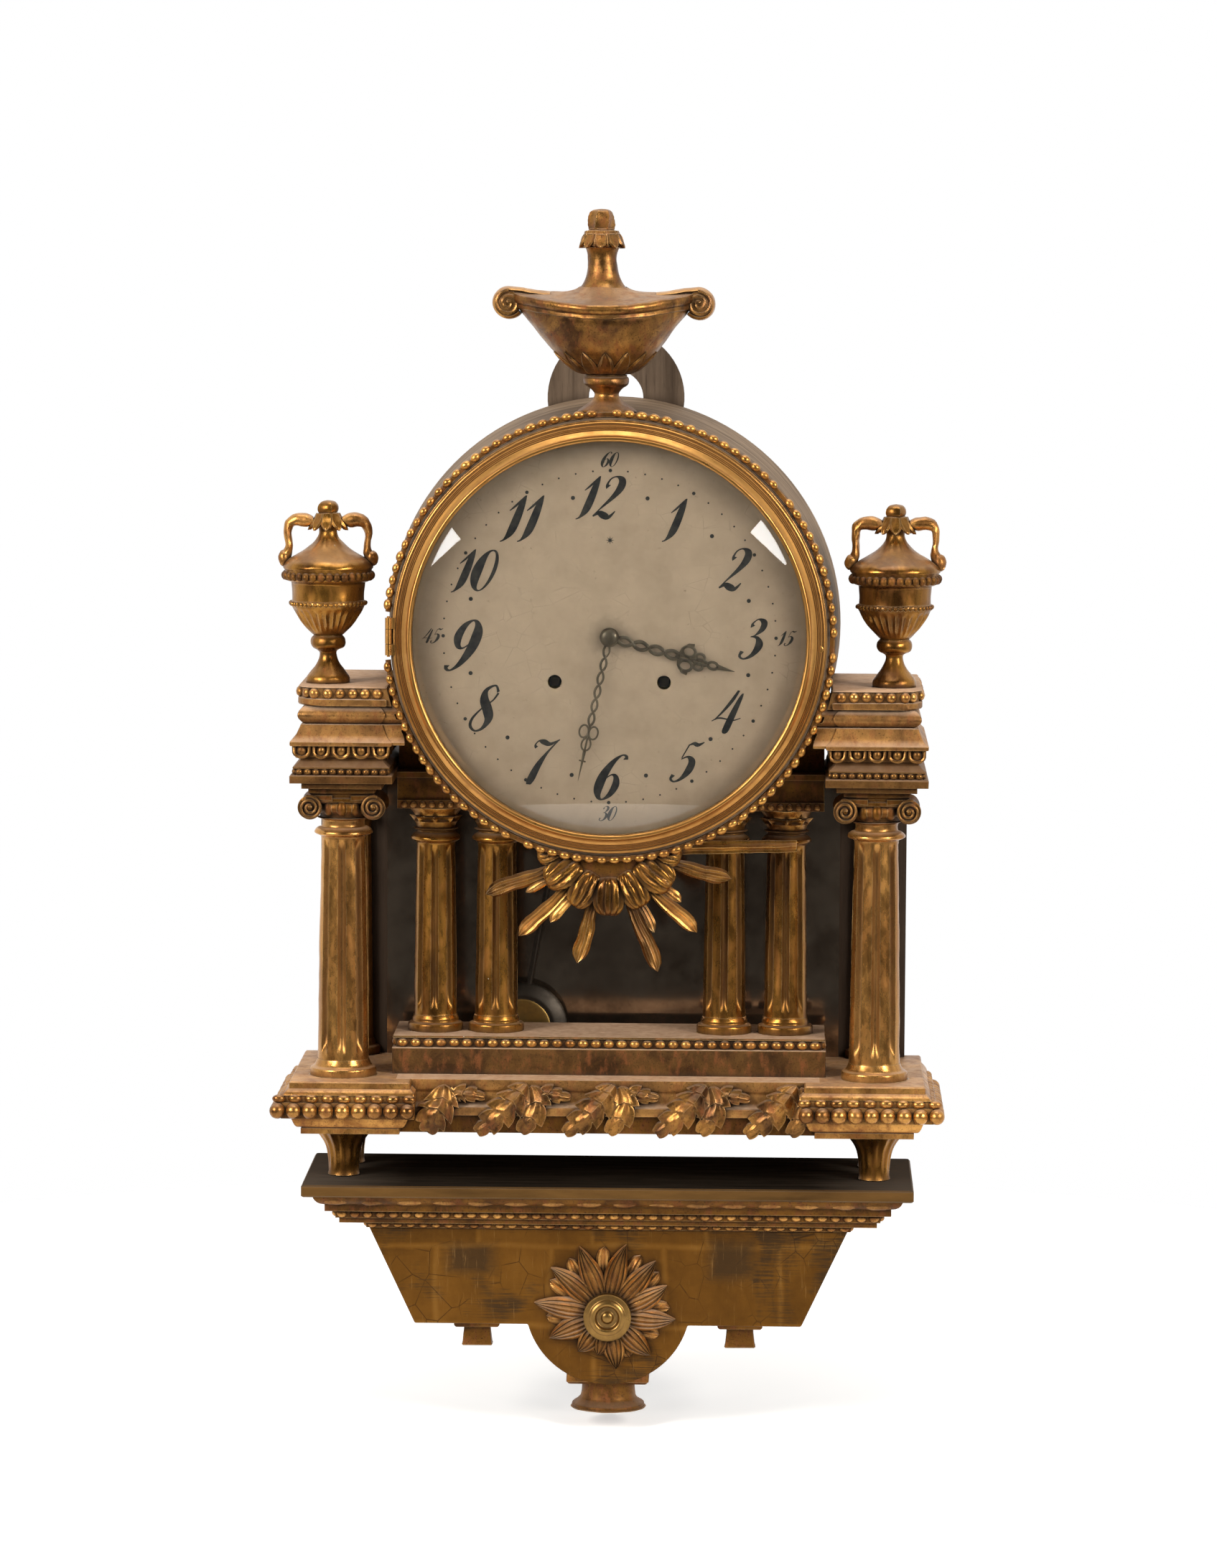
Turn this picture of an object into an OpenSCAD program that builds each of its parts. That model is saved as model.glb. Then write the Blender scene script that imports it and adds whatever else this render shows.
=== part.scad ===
// Gilt cartel clock on its wall bracket, in millimetres.
// X runs to the right, +Z up, the wall is the plane Y = 0 and the front looks along -Y.
// Depths are distances from the wall, so a depth of 90 lies at Y = -90.
// The origin is the centre of the wall face of the bracket's back board.

/* [Bracket] */
// Width of the back board that lies on the wall
bracket_board_w = 220; // [205:1:230]
// Height of the back board
bracket_board_h = 86; // [70:1:110]
// Thickness of the back board
bracket_board_t = 12; // [8:1:20]
// Distance between the two wall screws
screw_spacing = 180; // [120:1:190]
// Radius of the wall screw holes
screw_hole_r = 3; // [2:0.5:5]
// Width of the shelf
shelf_w = 397; // [390:1:440]
// Depth of the shelf
shelf_depth = 126; // [122:1:150]
// Thickness of the shelf
shelf_t = 8; // [5:1:14]
// Height of the sloping front panel
panel_h = 63.5; // [50:0.5:90]
// Width of the front panel at its lower edge
panel_bottom_w = 253; // [240:1:280]
// Thickness of the front panel
panel_t = 16; // [10:1:20]
// Thickness of the side and bottom boards
box_board_t = 8; // [6:1:12]
// Radius of the round apron under the panel
apron_r = 54.3; // [50:0.1:62]
// Height of the apron's centre over the panel's lower edge
apron_rise = 14.6; // [8:0.1:20]
// Radius of the rosette over its long petals
rosette_r = 49; // [36:0.5:56]
// Height of the rosette's centre over the panel's lower edge
rosette_rise = 7; // [0:0.5:14]
// Radius of the turned boss on the rosette
boss_r = 15.6; // [10:0.1:20]
// Distance of each small drop from the middle
drop_x = 86.5; // [70:0.5:95]
// Height of each small drop
drop_h = 18; // [12:1:30]
// Height of the end drop under the apron
end_drop_h = 18.8; // [12:0.2:30]

/* [Plinth] */
// Height of the feet
foot_h = 35; // [25:1:50]
// Distance of each foot from the middle
foot_x = 173.5; // [165:0.5:176]
// Distance of the front feet from the wall
foot_front_depth = 82; // [76:1:100]
// Distance of the rear feet from the wall
foot_rear_depth = 34; // [24:1:36]
// Radius of a foot at its flared top
foot_top_r = 20; // [16:0.5:20]
// Width of the plinth's top slab
plinth_w = 410; // [400:1:430]
// Depth of the plinth's top slab at the corner blocks
plinth_depth = 138; // [132:1:150]
// Distance from the middle to the inner side of each corner block
corner_x = 124; // [118:1:130]
// Depth of the plinth's middle section at its rail
rail_depth = 130; // [124:1:131]
// Radius of the large pearls
pearl_r = 5; // [3:0.1:5.1]
// Number of large pearls along the front of a corner block
pearl_count = 9; // [6:1:9]
// Spacing of the acanthus clusters
leaf_pitch = 56; // [52:1:58]
// Width of the inner plinth
inner_plinth_w = 282; // [270:1:290]
// Height of the inner plinth
inner_plinth_h = 24.9; // [16:0.1:32]

/* [Colonnade] */
// Clear height from the plinth to the entablature
column_h = 188.9; // [186:0.1:210]
// Distance of the front columns from the middle
column_x = 172.5; // [171:0.1:174]
// Distance of the front columns from the wall
column_depth = 102; // [96:1:108]
// Radius of the column shaft at the bottom
shaft_r = 16.5; // [14:0.1:17]
// Flutes round each front column
flute_count = 12; // [8:1:16]
// Distance of the outer inner columns from the middle
inner_column_x = 114.5; // [112:0.5:118]
// Distance of the inner pair of columns from the middle
middle_column_x = 74.5; // [70:0.5:76]
// Distance of the inner columns from the wall
inner_column_depth = 68; // [64:1:70]
// Radius of an inner column's shaft at the bottom
inner_shaft_r = 14; // [11:0.1:15]
// Thickness of the clock's back board
backboard_t = 8; // [6:0.5:10]
// Thickness of the mirror
mirror_t = 2; // [1:0.5:3]
// Radius of the hanging eye in the back board
eye_r = 18; // [8:1:24]

/* [Entablature] */
// Width of each entablature block
block_w = 66; // [62:1:70]
// Depth of each entablature block
block_depth = 136; // [128:1:140]
// Height of an urn
urn_h = 118; // [110:1:126]
// Distance of the urns from the middle
urn_x = 183; // [178:0.5:186]
// Distance of the urns and of the finial from the wall
urn_depth = 96; // [90:1:100]
// Height of the finial
finial_h = 129.3; // [120:0.1:136]

/* [Drum] */
// Height of the drum's axis over the plinth
drum_rise = 288.4; // [287:0.1:292]
// Outer radius of the drum at the front
drum_front_r = 140.5; // [140:0.1:143]
// Outer radius of the drum at the back
drum_back_r = 149; // [147:0.1:152]
// Inner radius of the drum
drum_bore_r = 132; // [130:0.1:134]
// Depth of the drum's front face
drum_depth = 134; // [132:0.5:137]
// Outer radius of the bezel
bezel_r = 138.4; // [137.5:0.1:138.6]
// Radius of the bezel's opening
bezel_open_r = 126; // [122:0.1:127]
// Height of the dome of the glass
glass_rise = 15; // [8:0.5:18]
// Thickness of the glass
glass_t = 2; // [1.5:0.1:2.5]
// Thickness of the dial plate
dial_t = 1.5; // [1:0.1:2]
// Radius of the winding holes in the dial
winding_hole_r = 4.5; // [4.4:0.1:6]

/* [Movement] */
// Distance of the winding arbors from the middle
winding_x = 35; // [34:0.1:36]
// Drop of the winding arbors below the dial's centre
winding_drop = 29; // [28:0.1:30]
// Thickness of the movement plates
plate_t = 2; // [1.5:0.1:2.5]
// Distance between the movement plates
plate_space = 48; // [47:0.5:50]
// Radius of the train pivots
pivot_r = 1.5; // [1:0.1:1.8]
// Running clearance round a pivot
pivot_gap = 0.05; // [0.03:0.01:0.1]
// Length of the minute hand
minute_hand_l = 94; // [80:1:100]
// Length of the hour hand
hour_hand_l = 83; // [70:1:88]
// Radius of the bell
bell_r = 26; // [20:1:27]
// Length of the pendulum from its pivot to the middle of the bob
pendulum_l = 343.7; // [330:0.1:345]
// Radius of the pendulum bob
bob_r = 30; // [22:1:32]
// Tilt of the pendulum to the left, as it is drawn
pendulum_tilt = 10.05; // [0:0.05:10.5]
// Largest swing of the pendulum to each side
pendulum_swing = 11; // [10.6:0.1:11.4]

/* [Hidden] */
$fn = 64;

// Gap between seated pieces that meet on a curve
seat_gap = 0.2;
// Gap between pieces of different bodies that pass each other
pass_gap = 0.4;
// Overlap that joins the members of one piece
weld = 0.05;
// Cutting tools run past the surface by this much
cut = 1;

// Colours
gilt = "#b07a35";
dull_gilt = "#8a5f2a";
bare_wood = "#7a6a55";
dark_wood = "#3a2a1a";
brass = "#b89a4a";
steel = "#8a8f95";
painted = "#b3a184";

// Mouldings, each row being height, setback at the sides and setback at the front
cornice_steps = [[7.5, 6.5, 9.5], [4.5, 14, 17.5], [5.5, 18.5, 22], [3.7, 23, 27], [4.3, 38, 32]];
plinth_steps = [[4.4, 7, 4], [6.6, 1, 0], [10.3, -7, -5], [4.8, -6, -4.5], [4, -3, -3], [4.5, 0, 0]];
block_steps = [[4.1, 7, 7], [5.1, 0, 0], [4.4, 1.5, 1.5], [7, 7, 7], [8.5, 2, 2], [5, 0, 0], [8.1, 4, 4],
    [11.6, 5, 5]];
beam_steps = [[5.4, 1], [14.6, 3], [3.9, 0]];
function total(rows, n) = n < 1 ? 0 : rows[n - 1][0] + total(rows, n - 1);

// Heights of the bracket
board_top_z = bracket_board_h / 2;
shelf_top_z = board_top_z + shelf_t;
cornice_h = total(cornice_steps, len(cornice_steps));
panel_top_z = board_top_z - cornice_h;
panel_bottom_z = panel_top_z - panel_h;
apron_z = panel_bottom_z + apron_rise;
apron_bottom_z = apron_z - apron_r;
rosette_z = panel_bottom_z + rosette_rise;
cornice_foot = cornice_steps[len(cornice_steps) - 1];
cornice_foot_half = shelf_w / 2 - cornice_foot[1];
cornice_foot_depth = shelf_depth - cornice_foot[2];
cornice_wall = 10.5;
panel_setback = 4;
panel_front = cornice_foot_depth - panel_setback;
panel_back = panel_front - panel_t;
panel_top_half = cornice_foot_half - panel_setback - weld;
panel_bottom_half = panel_bottom_w / 2;

// Heights of the clock
plinth_z = shelf_top_z + foot_h;
plinth_h = total(plinth_steps, len(plinth_steps));
plinth_top_z = plinth_z + plinth_h;
plinth_half = plinth_w / 2;
pearl_row = 2;
pearl_z = plinth_z + total(plinth_steps, pearl_row) + plinth_steps[pearl_row][0] / 2;
pearl_face_x = plinth_half - plinth_steps[pearl_row][1];
pearl_face_depth = plinth_depth - plinth_steps[pearl_row][2];
pearl_pitch = plinth_steps[pearl_row][0];
inner_plinth_top_z = plinth_top_z + inner_plinth_h;
block_z = plinth_top_z + column_h;
slab_h = 12.2;
slab_setback = 4;
slab_corner_r = 18;
slab_z = block_z + total(block_steps, len(block_steps));
slab_top_z = slab_z + slab_h;
block_inner_x = column_x - block_w / 2 - 0.5;
block_outer_x = block_inner_x + block_w;
drum_z = plinth_top_z + drum_rise;

// Drum, bezel and dial, as depths from the wall
drum_slope = (drum_back_r - drum_front_r) / (drum_depth - backboard_t);
function drum_r(depth) = drum_front_r + (drum_depth - depth) * drum_slope;
ring_t = 12;
ring_back = drum_depth - ring_t;
dial_seat_r = 120;
dial_gap = 0.5;
dial_r = 128;
dial_back = ring_back + ring_t / 2;
dial_front = dial_back + dial_t;
bezel_gap = 0.5;
bezel_back = drum_depth + bezel_gap;
bezel_h = 13.5;
bezel_front = bezel_back + bezel_h;
glass_seat = bezel_back + 5.5;
glass_r = bezel_open_r + 1.8;
dome_r = bezel_open_r - 0.5;
sphere_r = (dome_r * dome_r + glass_rise * glass_rise) / (2 * glass_rise);
hinge_r = 2.2;
hinge_pin_r = 1;
hinge_x = bezel_r + 2.8;
hinge_depth = drum_depth + 5;
hinge_half = 12;
hinge_leaf_half = 4.7;
knuckle_gap = 0.3;
bead_ring_in = drum_front_r + 0.3;
bead_ring_out = bead_ring_in + 3;
catch_r = 1.2;
catch_l = 4;
catch_x = drum_front_r - 6.5;

// Movement, as depths from the wall
dial_room = 18;
front_plate_back = dial_back - dial_room;
front_plate_front = front_plate_back + plate_t;
back_plate_front = front_plate_back - plate_space;
back_plate_back = back_plate_front - plate_t;
plate_half_w = 66;
plate_bottom_z = drum_z - 71;
plate_top_z = drum_z + 85;
pillar_r = 3;
pillar_x = 61;
pillar_low_z = plate_bottom_z + 6;
pillar_high_z = plate_top_z - 6;
hole_r = pivot_r + pivot_gap;
arbor_r = 2.2;
winding_r = 4;
winding_z = drum_z - winding_drop;
winding_square = 5.9;
post_r = 1.5;

// Arbor places in the plane of the plates
centre_at = [0, drum_z];
going_at = [winding_x, winding_z];
strike_at = [-winding_x, winding_z];
third_at = [-24, drum_z + 27];
escape_at = [0, drum_z + 46];
anchor_at = [0, drum_z + 70];
minute_at = [0, drum_z - 19.2];
pin_at = strike_at + [-13, 35.5];
hammer_at = [-20, drum_z + 73];

// Tooth counts, each pair being wheel and pinion
great_teeth = [80, 12];
centre_teeth = [64, 8];
third_teeth = [60, 8];
cannon_teeth = [36, 12];
hour_teeth = [40, 10];
strike_teeth = [72, 8];
escape_teeth = 30;
escape_r = 15;

// Planes of the wheels, as depths from the wall
great_plane = front_plate_back - 7;
centre_plane = back_plate_front + 6;
third_plane = back_plate_front + 13;
escape_plane = back_plate_front + 3;
strike_plane = back_plate_front + 17;
pin_plane = front_plate_back - 3.5;
wheel_t = 2;
barrel_r = 28;
barrel_l = 24;
motion_plane = front_plate_front + 2;
hour_plane = motion_plane + 4;
hour_pipe_r = 4.2;
cannon_r = 2.6;
hour_hand_plane = dial_front + 2;
hand_t = 1.2;
minute_hand_plane = hour_hand_plane + hand_t + 2.5;
nut_plane = minute_hand_plane + hand_t;
minute_hand_turn = 192;
hour_hand_turn = 105;

// Pendulum, hung on the axis of the anchor
pendulum_depth = 22;
rod_r = 1.8;
bob_t = 12;
bob_gap = 3;
swing_room = 4;
rating_nut_h = 3;
slot_half = pendulum_l * sin(pendulum_swing) + bob_r + swing_room;
slot_front = pendulum_depth + bob_t / 2 + bob_gap;
slot_back = pendulum_depth - bob_t / 2 - bob_gap;
slot_z = anchor_at[1] - pendulum_l - bob_r - rating_nut_h - swing_room;
rod_room = 8;
drum_slot_half = (anchor_at[1] - drum_z + drum_back_r) * tan(pendulum_swing) + rod_r + rod_room;
drum_slot_room = 10;

// A block centred on X, from one depth and height to another
module slab(half_w, back, front, z0, z1) {
    translate([-half_w, -front, z0]) cube([2 * half_w, front - back, z1 - z0]);
}

// A block between two X values
module block(x0, x1, back, front, z0, z1) {
    translate([x0, -front, z0]) cube([x1 - x0, front - back, z1 - z0]);
}

// The same shape on both sides of the middle
module both_sides() {
    children();
    mirror([1, 0, 0]) children();
}

// A turned shape on an upright axis; the outline is radius and height
module turned(x, depth, z, outline) {
    translate([x, -depth, z]) rotate_extrude() polygon(outline);
}

// A turned shape on an axis square to the wall; the outline is radius and depth
module turned_y(at, outline) {
    translate([at[0], 0, at[1]]) rotate([90, 0, 0]) rotate_extrude() polygon(outline);
}

// A flat shape parallel to the wall, drawn in X and Z
module sheet(back, front) {
    translate([0, -back, 0]) rotate([90, 0, 0]) linear_extrude(front - back) children();
}

// A round bar square to the wall
module bar_y(at, back, front, r) {
    translate([at[0], -back, at[1]]) rotate([90, 0, 0]) cylinder(h = front - back, r = r);
}

// The space that the drum fills, with room round it
module drum_envelope(room) {
    turned_y([0, drum_z], [
        [0, -cut], [drum_r(-cut) + room, -cut], [drum_r(drum_depth + 20) + room, drum_depth + 20],
        [0, drum_depth + 20]
    ]);
}

// Bracket

module bracket_back_board() {
    color(bare_wood) difference() {
        slab(bracket_board_w / 2, 0, bracket_board_t, -board_top_z, board_top_z);
        for (side = [-1, 1])
            bar_y([side * screw_spacing / 2, 0], -cut, bracket_board_t + cut, screw_hole_r);
    }
}

module bracket_shelf() {
    color(dark_wood) slab(shelf_w / 2, 0, shelf_depth, board_top_z, shelf_top_z);
}

module bracket_cornice() {
    last = len(cornice_steps) - 1;
    color(dull_gilt) difference() {
        for (i = [0 : last]) {
            step = cornice_steps[i];
            top = board_top_z - total(cornice_steps, i);
            slab(shelf_w / 2 - step[1], 0, shelf_depth - step[2], top - step[0] - (i < last ? weld : 0), top);
        }
        slab(cornice_foot_half - cornice_wall, -cut, cornice_foot_depth - panel_t,
            panel_top_z - cut, board_top_z + cut);
    }
}

module bracket_front_panel() {
    color(gilt) {
        sheet(panel_back, panel_front) polygon([
            [-panel_top_half, panel_top_z], [panel_top_half, panel_top_z],
            [panel_bottom_half, panel_bottom_z], [-panel_bottom_half, panel_bottom_z]
        ]);
        intersection() {
            bar_y([0, apron_z], panel_back, panel_front, apron_r);
            slab(apron_r + cut, panel_back - cut, panel_front + cut, apron_bottom_z - cut, apron_z);
        }
    }
}

// Side boards that follow the slope of the panel, and the bottom board between them
module bracket_box_boards() {
    color(dull_gilt) {
        both_sides() sheet(0, panel_back) polygon([
            [panel_top_half, panel_top_z], [panel_top_half - box_board_t, panel_top_z],
            [panel_bottom_half - box_board_t, panel_bottom_z], [panel_bottom_half, panel_bottom_z]
        ]);
        slab(panel_bottom_half - box_board_t - seat_gap, bracket_board_t, panel_back,
            panel_bottom_z, min(panel_bottom_z + box_board_t, -board_top_z + box_board_t));
    }
}

// A pointed petal whose root is at the centre, drawn along +X
module petal(reach, width) {
    side_r = (reach * reach / 4 + width * width / 4) / width;
    intersection() {
        translate([reach / 2, side_r - width / 2]) circle(r = side_r);
        translate([reach / 2, width / 2 - side_r]) circle(r = side_r);
    }
}

petal_count = 12;
petal_t = 4.5;
back_petal_t = 2.5;
back_petal_share = 0.86;
module bracket_rosette() {
    color(gilt) difference() {
        union() {
            sheet(panel_front, panel_front + back_petal_t) translate([0, rosette_z])
                for (i = [0 : petal_count - 1])
                    rotate((i + 0.5) * 360 / petal_count) petal(rosette_r * back_petal_share, boss_r);
            sheet(panel_front, panel_front + petal_t) translate([0, rosette_z])
                for (i = [0 : petal_count - 1])
                    rotate(i * 360 / petal_count) petal(rosette_r, boss_r * 0.8);
        }
        bar_y([0, rosette_z], panel_front - cut, panel_front + petal_t + cut, boss_r + seat_gap);
    }
}

boss_h = 14;
boss_ring_r = 9.2;
boss_button_r = 3.8;
module rosette_boss() {
    color(brass) turned_y([0, rosette_z], [
        [0, panel_front], [boss_r, panel_front], [boss_r, panel_front + boss_h * 0.5],
        [boss_r - 2, panel_front + boss_h * 0.75], [boss_ring_r + 1, panel_front + boss_h * 0.7],
        [boss_ring_r, panel_front + boss_h], [boss_ring_r - 2, panel_front + boss_h],
        [boss_ring_r - 2.5, panel_front + boss_h * 0.6], [boss_button_r, panel_front + boss_h * 0.6],
        [boss_button_r - 0.8, panel_front + boss_h * 0.85], [0, panel_front + boss_h * 0.9]
    ]);
}

drop_cap_h = 5;
drop_cap_half = 15.5;
drop_cap_depth = 16;
drop_r = 9;
drop_flare = 2;
module bracket_drops() {
    color(dull_gilt) both_sides() {
        block(drop_x - drop_cap_half, drop_x + drop_cap_half, panel_back - drop_cap_depth, panel_back,
            panel_bottom_z - drop_cap_h, panel_bottom_z);
        turned(drop_x, panel_back - drop_cap_depth / 2, panel_bottom_z - drop_h, [
            [0, 0], [drop_r + drop_flare, 0], [drop_r + drop_flare, 1.5],
            [drop_r, drop_h - drop_cap_h + weld], [0, drop_h - drop_cap_h + weld]
        ]);
    }
}

end_cap_half = 27;
end_cap_h = 8.5;
end_cap_depth = 30;
end_block_half = 24;
end_cone_r = 16;
end_cone_flare = 7.5;
end_cone_depth = 8;
module bracket_end_drop() {
    color(dull_gilt) {
        slab(end_cap_half, panel_back - end_cap_depth, panel_back,
            apron_bottom_z, apron_bottom_z + end_cap_h);
        slab(end_block_half, panel_back - end_cap_depth, panel_back - end_cone_depth,
            apron_bottom_z - end_drop_h + 1, apron_bottom_z + weld);
        turned(0, panel_back - end_cone_depth, apron_bottom_z - end_drop_h, [
            [0, 0], [end_cone_r + end_cone_flare, 0], [end_cone_r + end_cone_flare, 2],
            [end_cone_r + 2, end_drop_h * 0.5], [end_cone_r, end_drop_h - seat_gap],
            [0, end_drop_h - seat_gap]
        ]);
    }
}

// Plinth

foot_neck_r = 11;
foot_bottom_r = 8.75;
module feet() {
    color(gilt) both_sides() for (depth = [foot_front_depth, foot_rear_depth])
        turned(foot_x, depth, shelf_top_z, [
            [0, 0], [foot_bottom_r, 0], [foot_bottom_r + 0.6, foot_h * 0.35], [foot_neck_r, foot_h * 0.6],
            [foot_neck_r + 3.5, foot_h * 0.8], [foot_top_r - 1, foot_h * 0.92], [foot_top_r, foot_h * 0.95],
            [foot_top_r, foot_h], [0, foot_h]
        ]);
}

recess_setback = 8;
rail_low = 12;
rail_high = 19.5;
cove_setback = 9;
module plinth_middle() {
    // The outline is depth and height, run along X between the corner blocks
    rotate([0, 0, -90]) rotate([90, 0, 0])
        translate([0, plinth_z, -corner_x - weld]) linear_extrude(2 * corner_x + 2 * weld) polygon([
            [0, 0], [rail_depth - recess_setback, 0], [rail_depth - recess_setback, rail_low],
            [rail_depth, rail_low], [rail_depth, rail_high], [rail_depth - cove_setback * 0.45, rail_high],
            [rail_depth - cove_setback * 0.55, rail_high + 7], [rail_depth - cove_setback, plinth_h],
            [0, plinth_h]
        ]);
}

module plinth_corner() {
    for (i = [0 : len(plinth_steps) - 1]) {
        step = plinth_steps[i];
        z = plinth_z + total(plinth_steps, i);
        lift = i < len(plinth_steps) - 1 ? weld : 0;
        block(corner_x, plinth_half - step[1], 0, plinth_depth - step[2], z, z + step[0] + lift);
    }
}

module base_plinth() {
    color(gilt) difference() {
        union() {
            plinth_middle();
            both_sides() plinth_corner();
        }
        slab(slot_half, slot_back, slot_front, slot_z, plinth_top_z + cut);
    }
}

side_pearls = 13;
module plinth_pearls() {
    color(gilt) difference() {
        both_sides() {
            for (i = [0 : pearl_count - 1])
                translate([pearl_face_x - i * pearl_pitch, -pearl_face_depth, pearl_z]) sphere(r = pearl_r);
            for (i = [1 : side_pearls - 1])
                translate([pearl_face_x, -pearl_face_depth + i * pearl_pitch, pearl_z]) sphere(r = pearl_r);
        }
        slab(pearl_face_x, -cut, pearl_face_depth, pearl_z - pearl_pitch, pearl_z + pearl_pitch);
    }
}

leaf_count = 5;
leaf_t = 5;
leaf_l = 42;
leaf_w = 17;
leaf_turn = 33;
leaf_z = plinth_z + 16.5;
leaf_shift = -2;
module leaf(x, z, turn, reach, width) {
    sheet(rail_depth, rail_depth + leaf_t) translate([x, z]) rotate(turn) petal(reach, width);
}

module leaf_cluster(x) {
    leaf(x - cos(leaf_turn) * leaf_l / 2, leaf_z - sin(leaf_turn) * leaf_l / 2, leaf_turn, leaf_l, leaf_w);
    leaf(x - leaf_w * 0.5, leaf_z - leaf_w * 0.1, leaf_turn * 2.6, leaf_l * 0.42, leaf_w * 0.55);
    leaf(x - leaf_w * 0.2, leaf_z - leaf_w * 0.1, -leaf_turn * 0.6, leaf_l * 0.5, leaf_w * 0.5);
    leaf(x, leaf_z + leaf_w * 0.3, leaf_turn * 0.1, leaf_l * 0.7, leaf_w * 0.4);
}

module plinth_leaves() {
    color(gilt) difference() {
        for (i = [0 : leaf_count - 1])
            leaf_cluster(leaf_shift + (i - (leaf_count - 1) / 2) * leaf_pitch);
        both_sides() block(corner_x - seat_gap, plinth_half, 0, 2 * plinth_depth, plinth_z, plinth_top_z);
    }
}

inner_plinth_front = 100;
inner_plinth_back = 34;
module inner_plinth() {
    color(gilt) slab(inner_plinth_w / 2, inner_plinth_back, inner_plinth_front,
        plinth_top_z, inner_plinth_top_z);
}

// Colonnade

base_h = 10.4;
base_r = 21.5;
ring_h = 6.1;
column_ring_r = 18.5;
neck_h = 6.1;
neck_r = 14;
capital_h = 20.5;
shaft_top_r = shaft_r - 2.15;
shaft_top_h = column_h - capital_h - neck_h - ring_h;
shaft_outline = [
    [0, 0], [base_r - 1.5, 0], [base_r, 2.5], [base_r, 5.5], [base_r - 2, 7.5], [shaft_r + 1.5, base_h],
    [shaft_r, base_h + 4], [shaft_top_r, shaft_top_h], [column_ring_r - 1, shaft_top_h + 0.8],
    [column_ring_r, shaft_top_h + ring_h / 2], [column_ring_r - 1, shaft_top_h + ring_h],
    [neck_r, shaft_top_h + ring_h + 1], [neck_r, column_h - capital_h]
];

flute_r = 3.2;
flute_low = base_h + 10;
flute_high = shaft_top_h - 8;
flute_lean = atan((shaft_r - shaft_top_r) / (shaft_top_h - base_h));
module flutes(radius) {
    for (i = [0 : flute_count - 1]) rotate([0, 0, (i + 0.5) * 360 / flute_count])
        translate([radius + flute_r * 0.62, 0, 0]) rotate([0, -flute_lean, 0]) translate([0, 0, flute_low]) {
            cylinder(h = flute_high - flute_low, r = flute_r, $fn = 24);
            sphere(r = flute_r, $fn = 24);
            translate([0, 0, flute_high - flute_low]) sphere(r = flute_r, $fn = 24);
        }
}

module front_columns() {
    color(gilt) both_sides() difference() {
        turned(column_x, column_depth, plinth_top_z, concat(shaft_outline, [[0, column_h - capital_h]]));
        translate([column_x, -column_depth, plinth_top_z]) flutes(shaft_r);
    }
}

volute_r = 7.8;
volute_x = 20.4;
volute_half = 20;
abacus_h = 5;
abacus_half = 24;
echinus_h = 8;
module ionic_capitals() {
    capital_z = block_z - capital_h;
    volute_z = block_z - abacus_h - volute_r;
    color(gilt) both_sides() {
        for (side = [-1, 1])
            bar_y([column_x + side * volute_x, volute_z], column_depth - volute_half,
                column_depth + volute_half, volute_r);
        block(column_x - volute_x, column_x + volute_x, column_depth - volute_half + 2,
            column_depth + volute_half - 2, volute_z - 1, block_z - abacus_h + weld);
        block(column_x - abacus_half, column_x + abacus_half, column_depth - volute_half - 2,
            column_depth + volute_half + 2, block_z - abacus_h, block_z);
        turned(column_x, column_depth, capital_z,
            [[0, 0], [neck_r, 0], [neck_r + 4, echinus_h], [0, echinus_h]]);
    }
}

// Half-columns against the back board
module rear_half_columns() {
    color(gilt) both_sides() intersection() {
        turned(column_x, backboard_t, plinth_top_z, concat(shaft_outline, [
            [neck_r + 4, column_h - capital_h + 6], [neck_r + 4, column_h], [0, column_h]
        ]));
        block(column_x - 2 * base_r, column_x + 2 * base_r, backboard_t, backboard_t + 2 * base_r,
            plinth_top_z, block_z);
    }
}

inner_base_r = 18;
inner_ring_r = 16;
inner_cap_r = 17;
beam_z = block_z - 16.8;
inner_h = beam_z - inner_plinth_top_z;
inner_outline = [
    [0, 0], [inner_base_r, 0], [inner_base_r, 4], [inner_base_r - 1.5, 6], [inner_shaft_r + 0.8, 7.8],
    [inner_shaft_r, 11], [inner_shaft_r - 1.5, inner_h - 18.7], [inner_ring_r, inner_h - 17.7],
    [inner_ring_r, inner_h - 14.5], [inner_shaft_r - 1, inner_h - 13.5], [inner_shaft_r - 1, inner_h - 7.7],
    [inner_cap_r, inner_h - 6], [inner_cap_r, inner_h], [0, inner_h]
];
module inner_columns() {
    color(gilt) difference() {
        both_sides() for (x = [inner_column_x, middle_column_x])
            turned(x, inner_column_depth, inner_plinth_top_z, inner_outline);
        drum_envelope(seat_gap);
    }
}

// The back board with its hanging eye, flat on the wall
eye_rim = 27;
eye_z = drum_z + drum_back_r - 1;
board_half = column_x + base_r;
mirror_half = column_x - base_r - 1;
module backboard() {
    color(bare_wood) difference() {
        sheet(0, backboard_t) {
            translate([-board_half, plinth_top_z]) square([2 * board_half, column_h]);
            translate([-block_inner_x + seat_gap, block_z - weld])
                square([2 * (block_inner_x - seat_gap), drum_z - block_z - drum_front_r * 0.55]);
            translate([0, drum_z]) circle(r = drum_back_r - 1);
            translate([0, eye_z]) circle(r = eye_r + eye_rim);
        }
        bar_y([0, eye_z], -cut, backboard_t + cut, eye_r);
    }
}

mirror_top_gap = 3;
module mirror_glass() {
    color("#2a2622") difference() {
        slab(mirror_half, backboard_t, backboard_t + mirror_t, plinth_top_z, block_z - mirror_top_gap);
        drum_envelope(seat_gap);
    }
}

// Entablature

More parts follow.
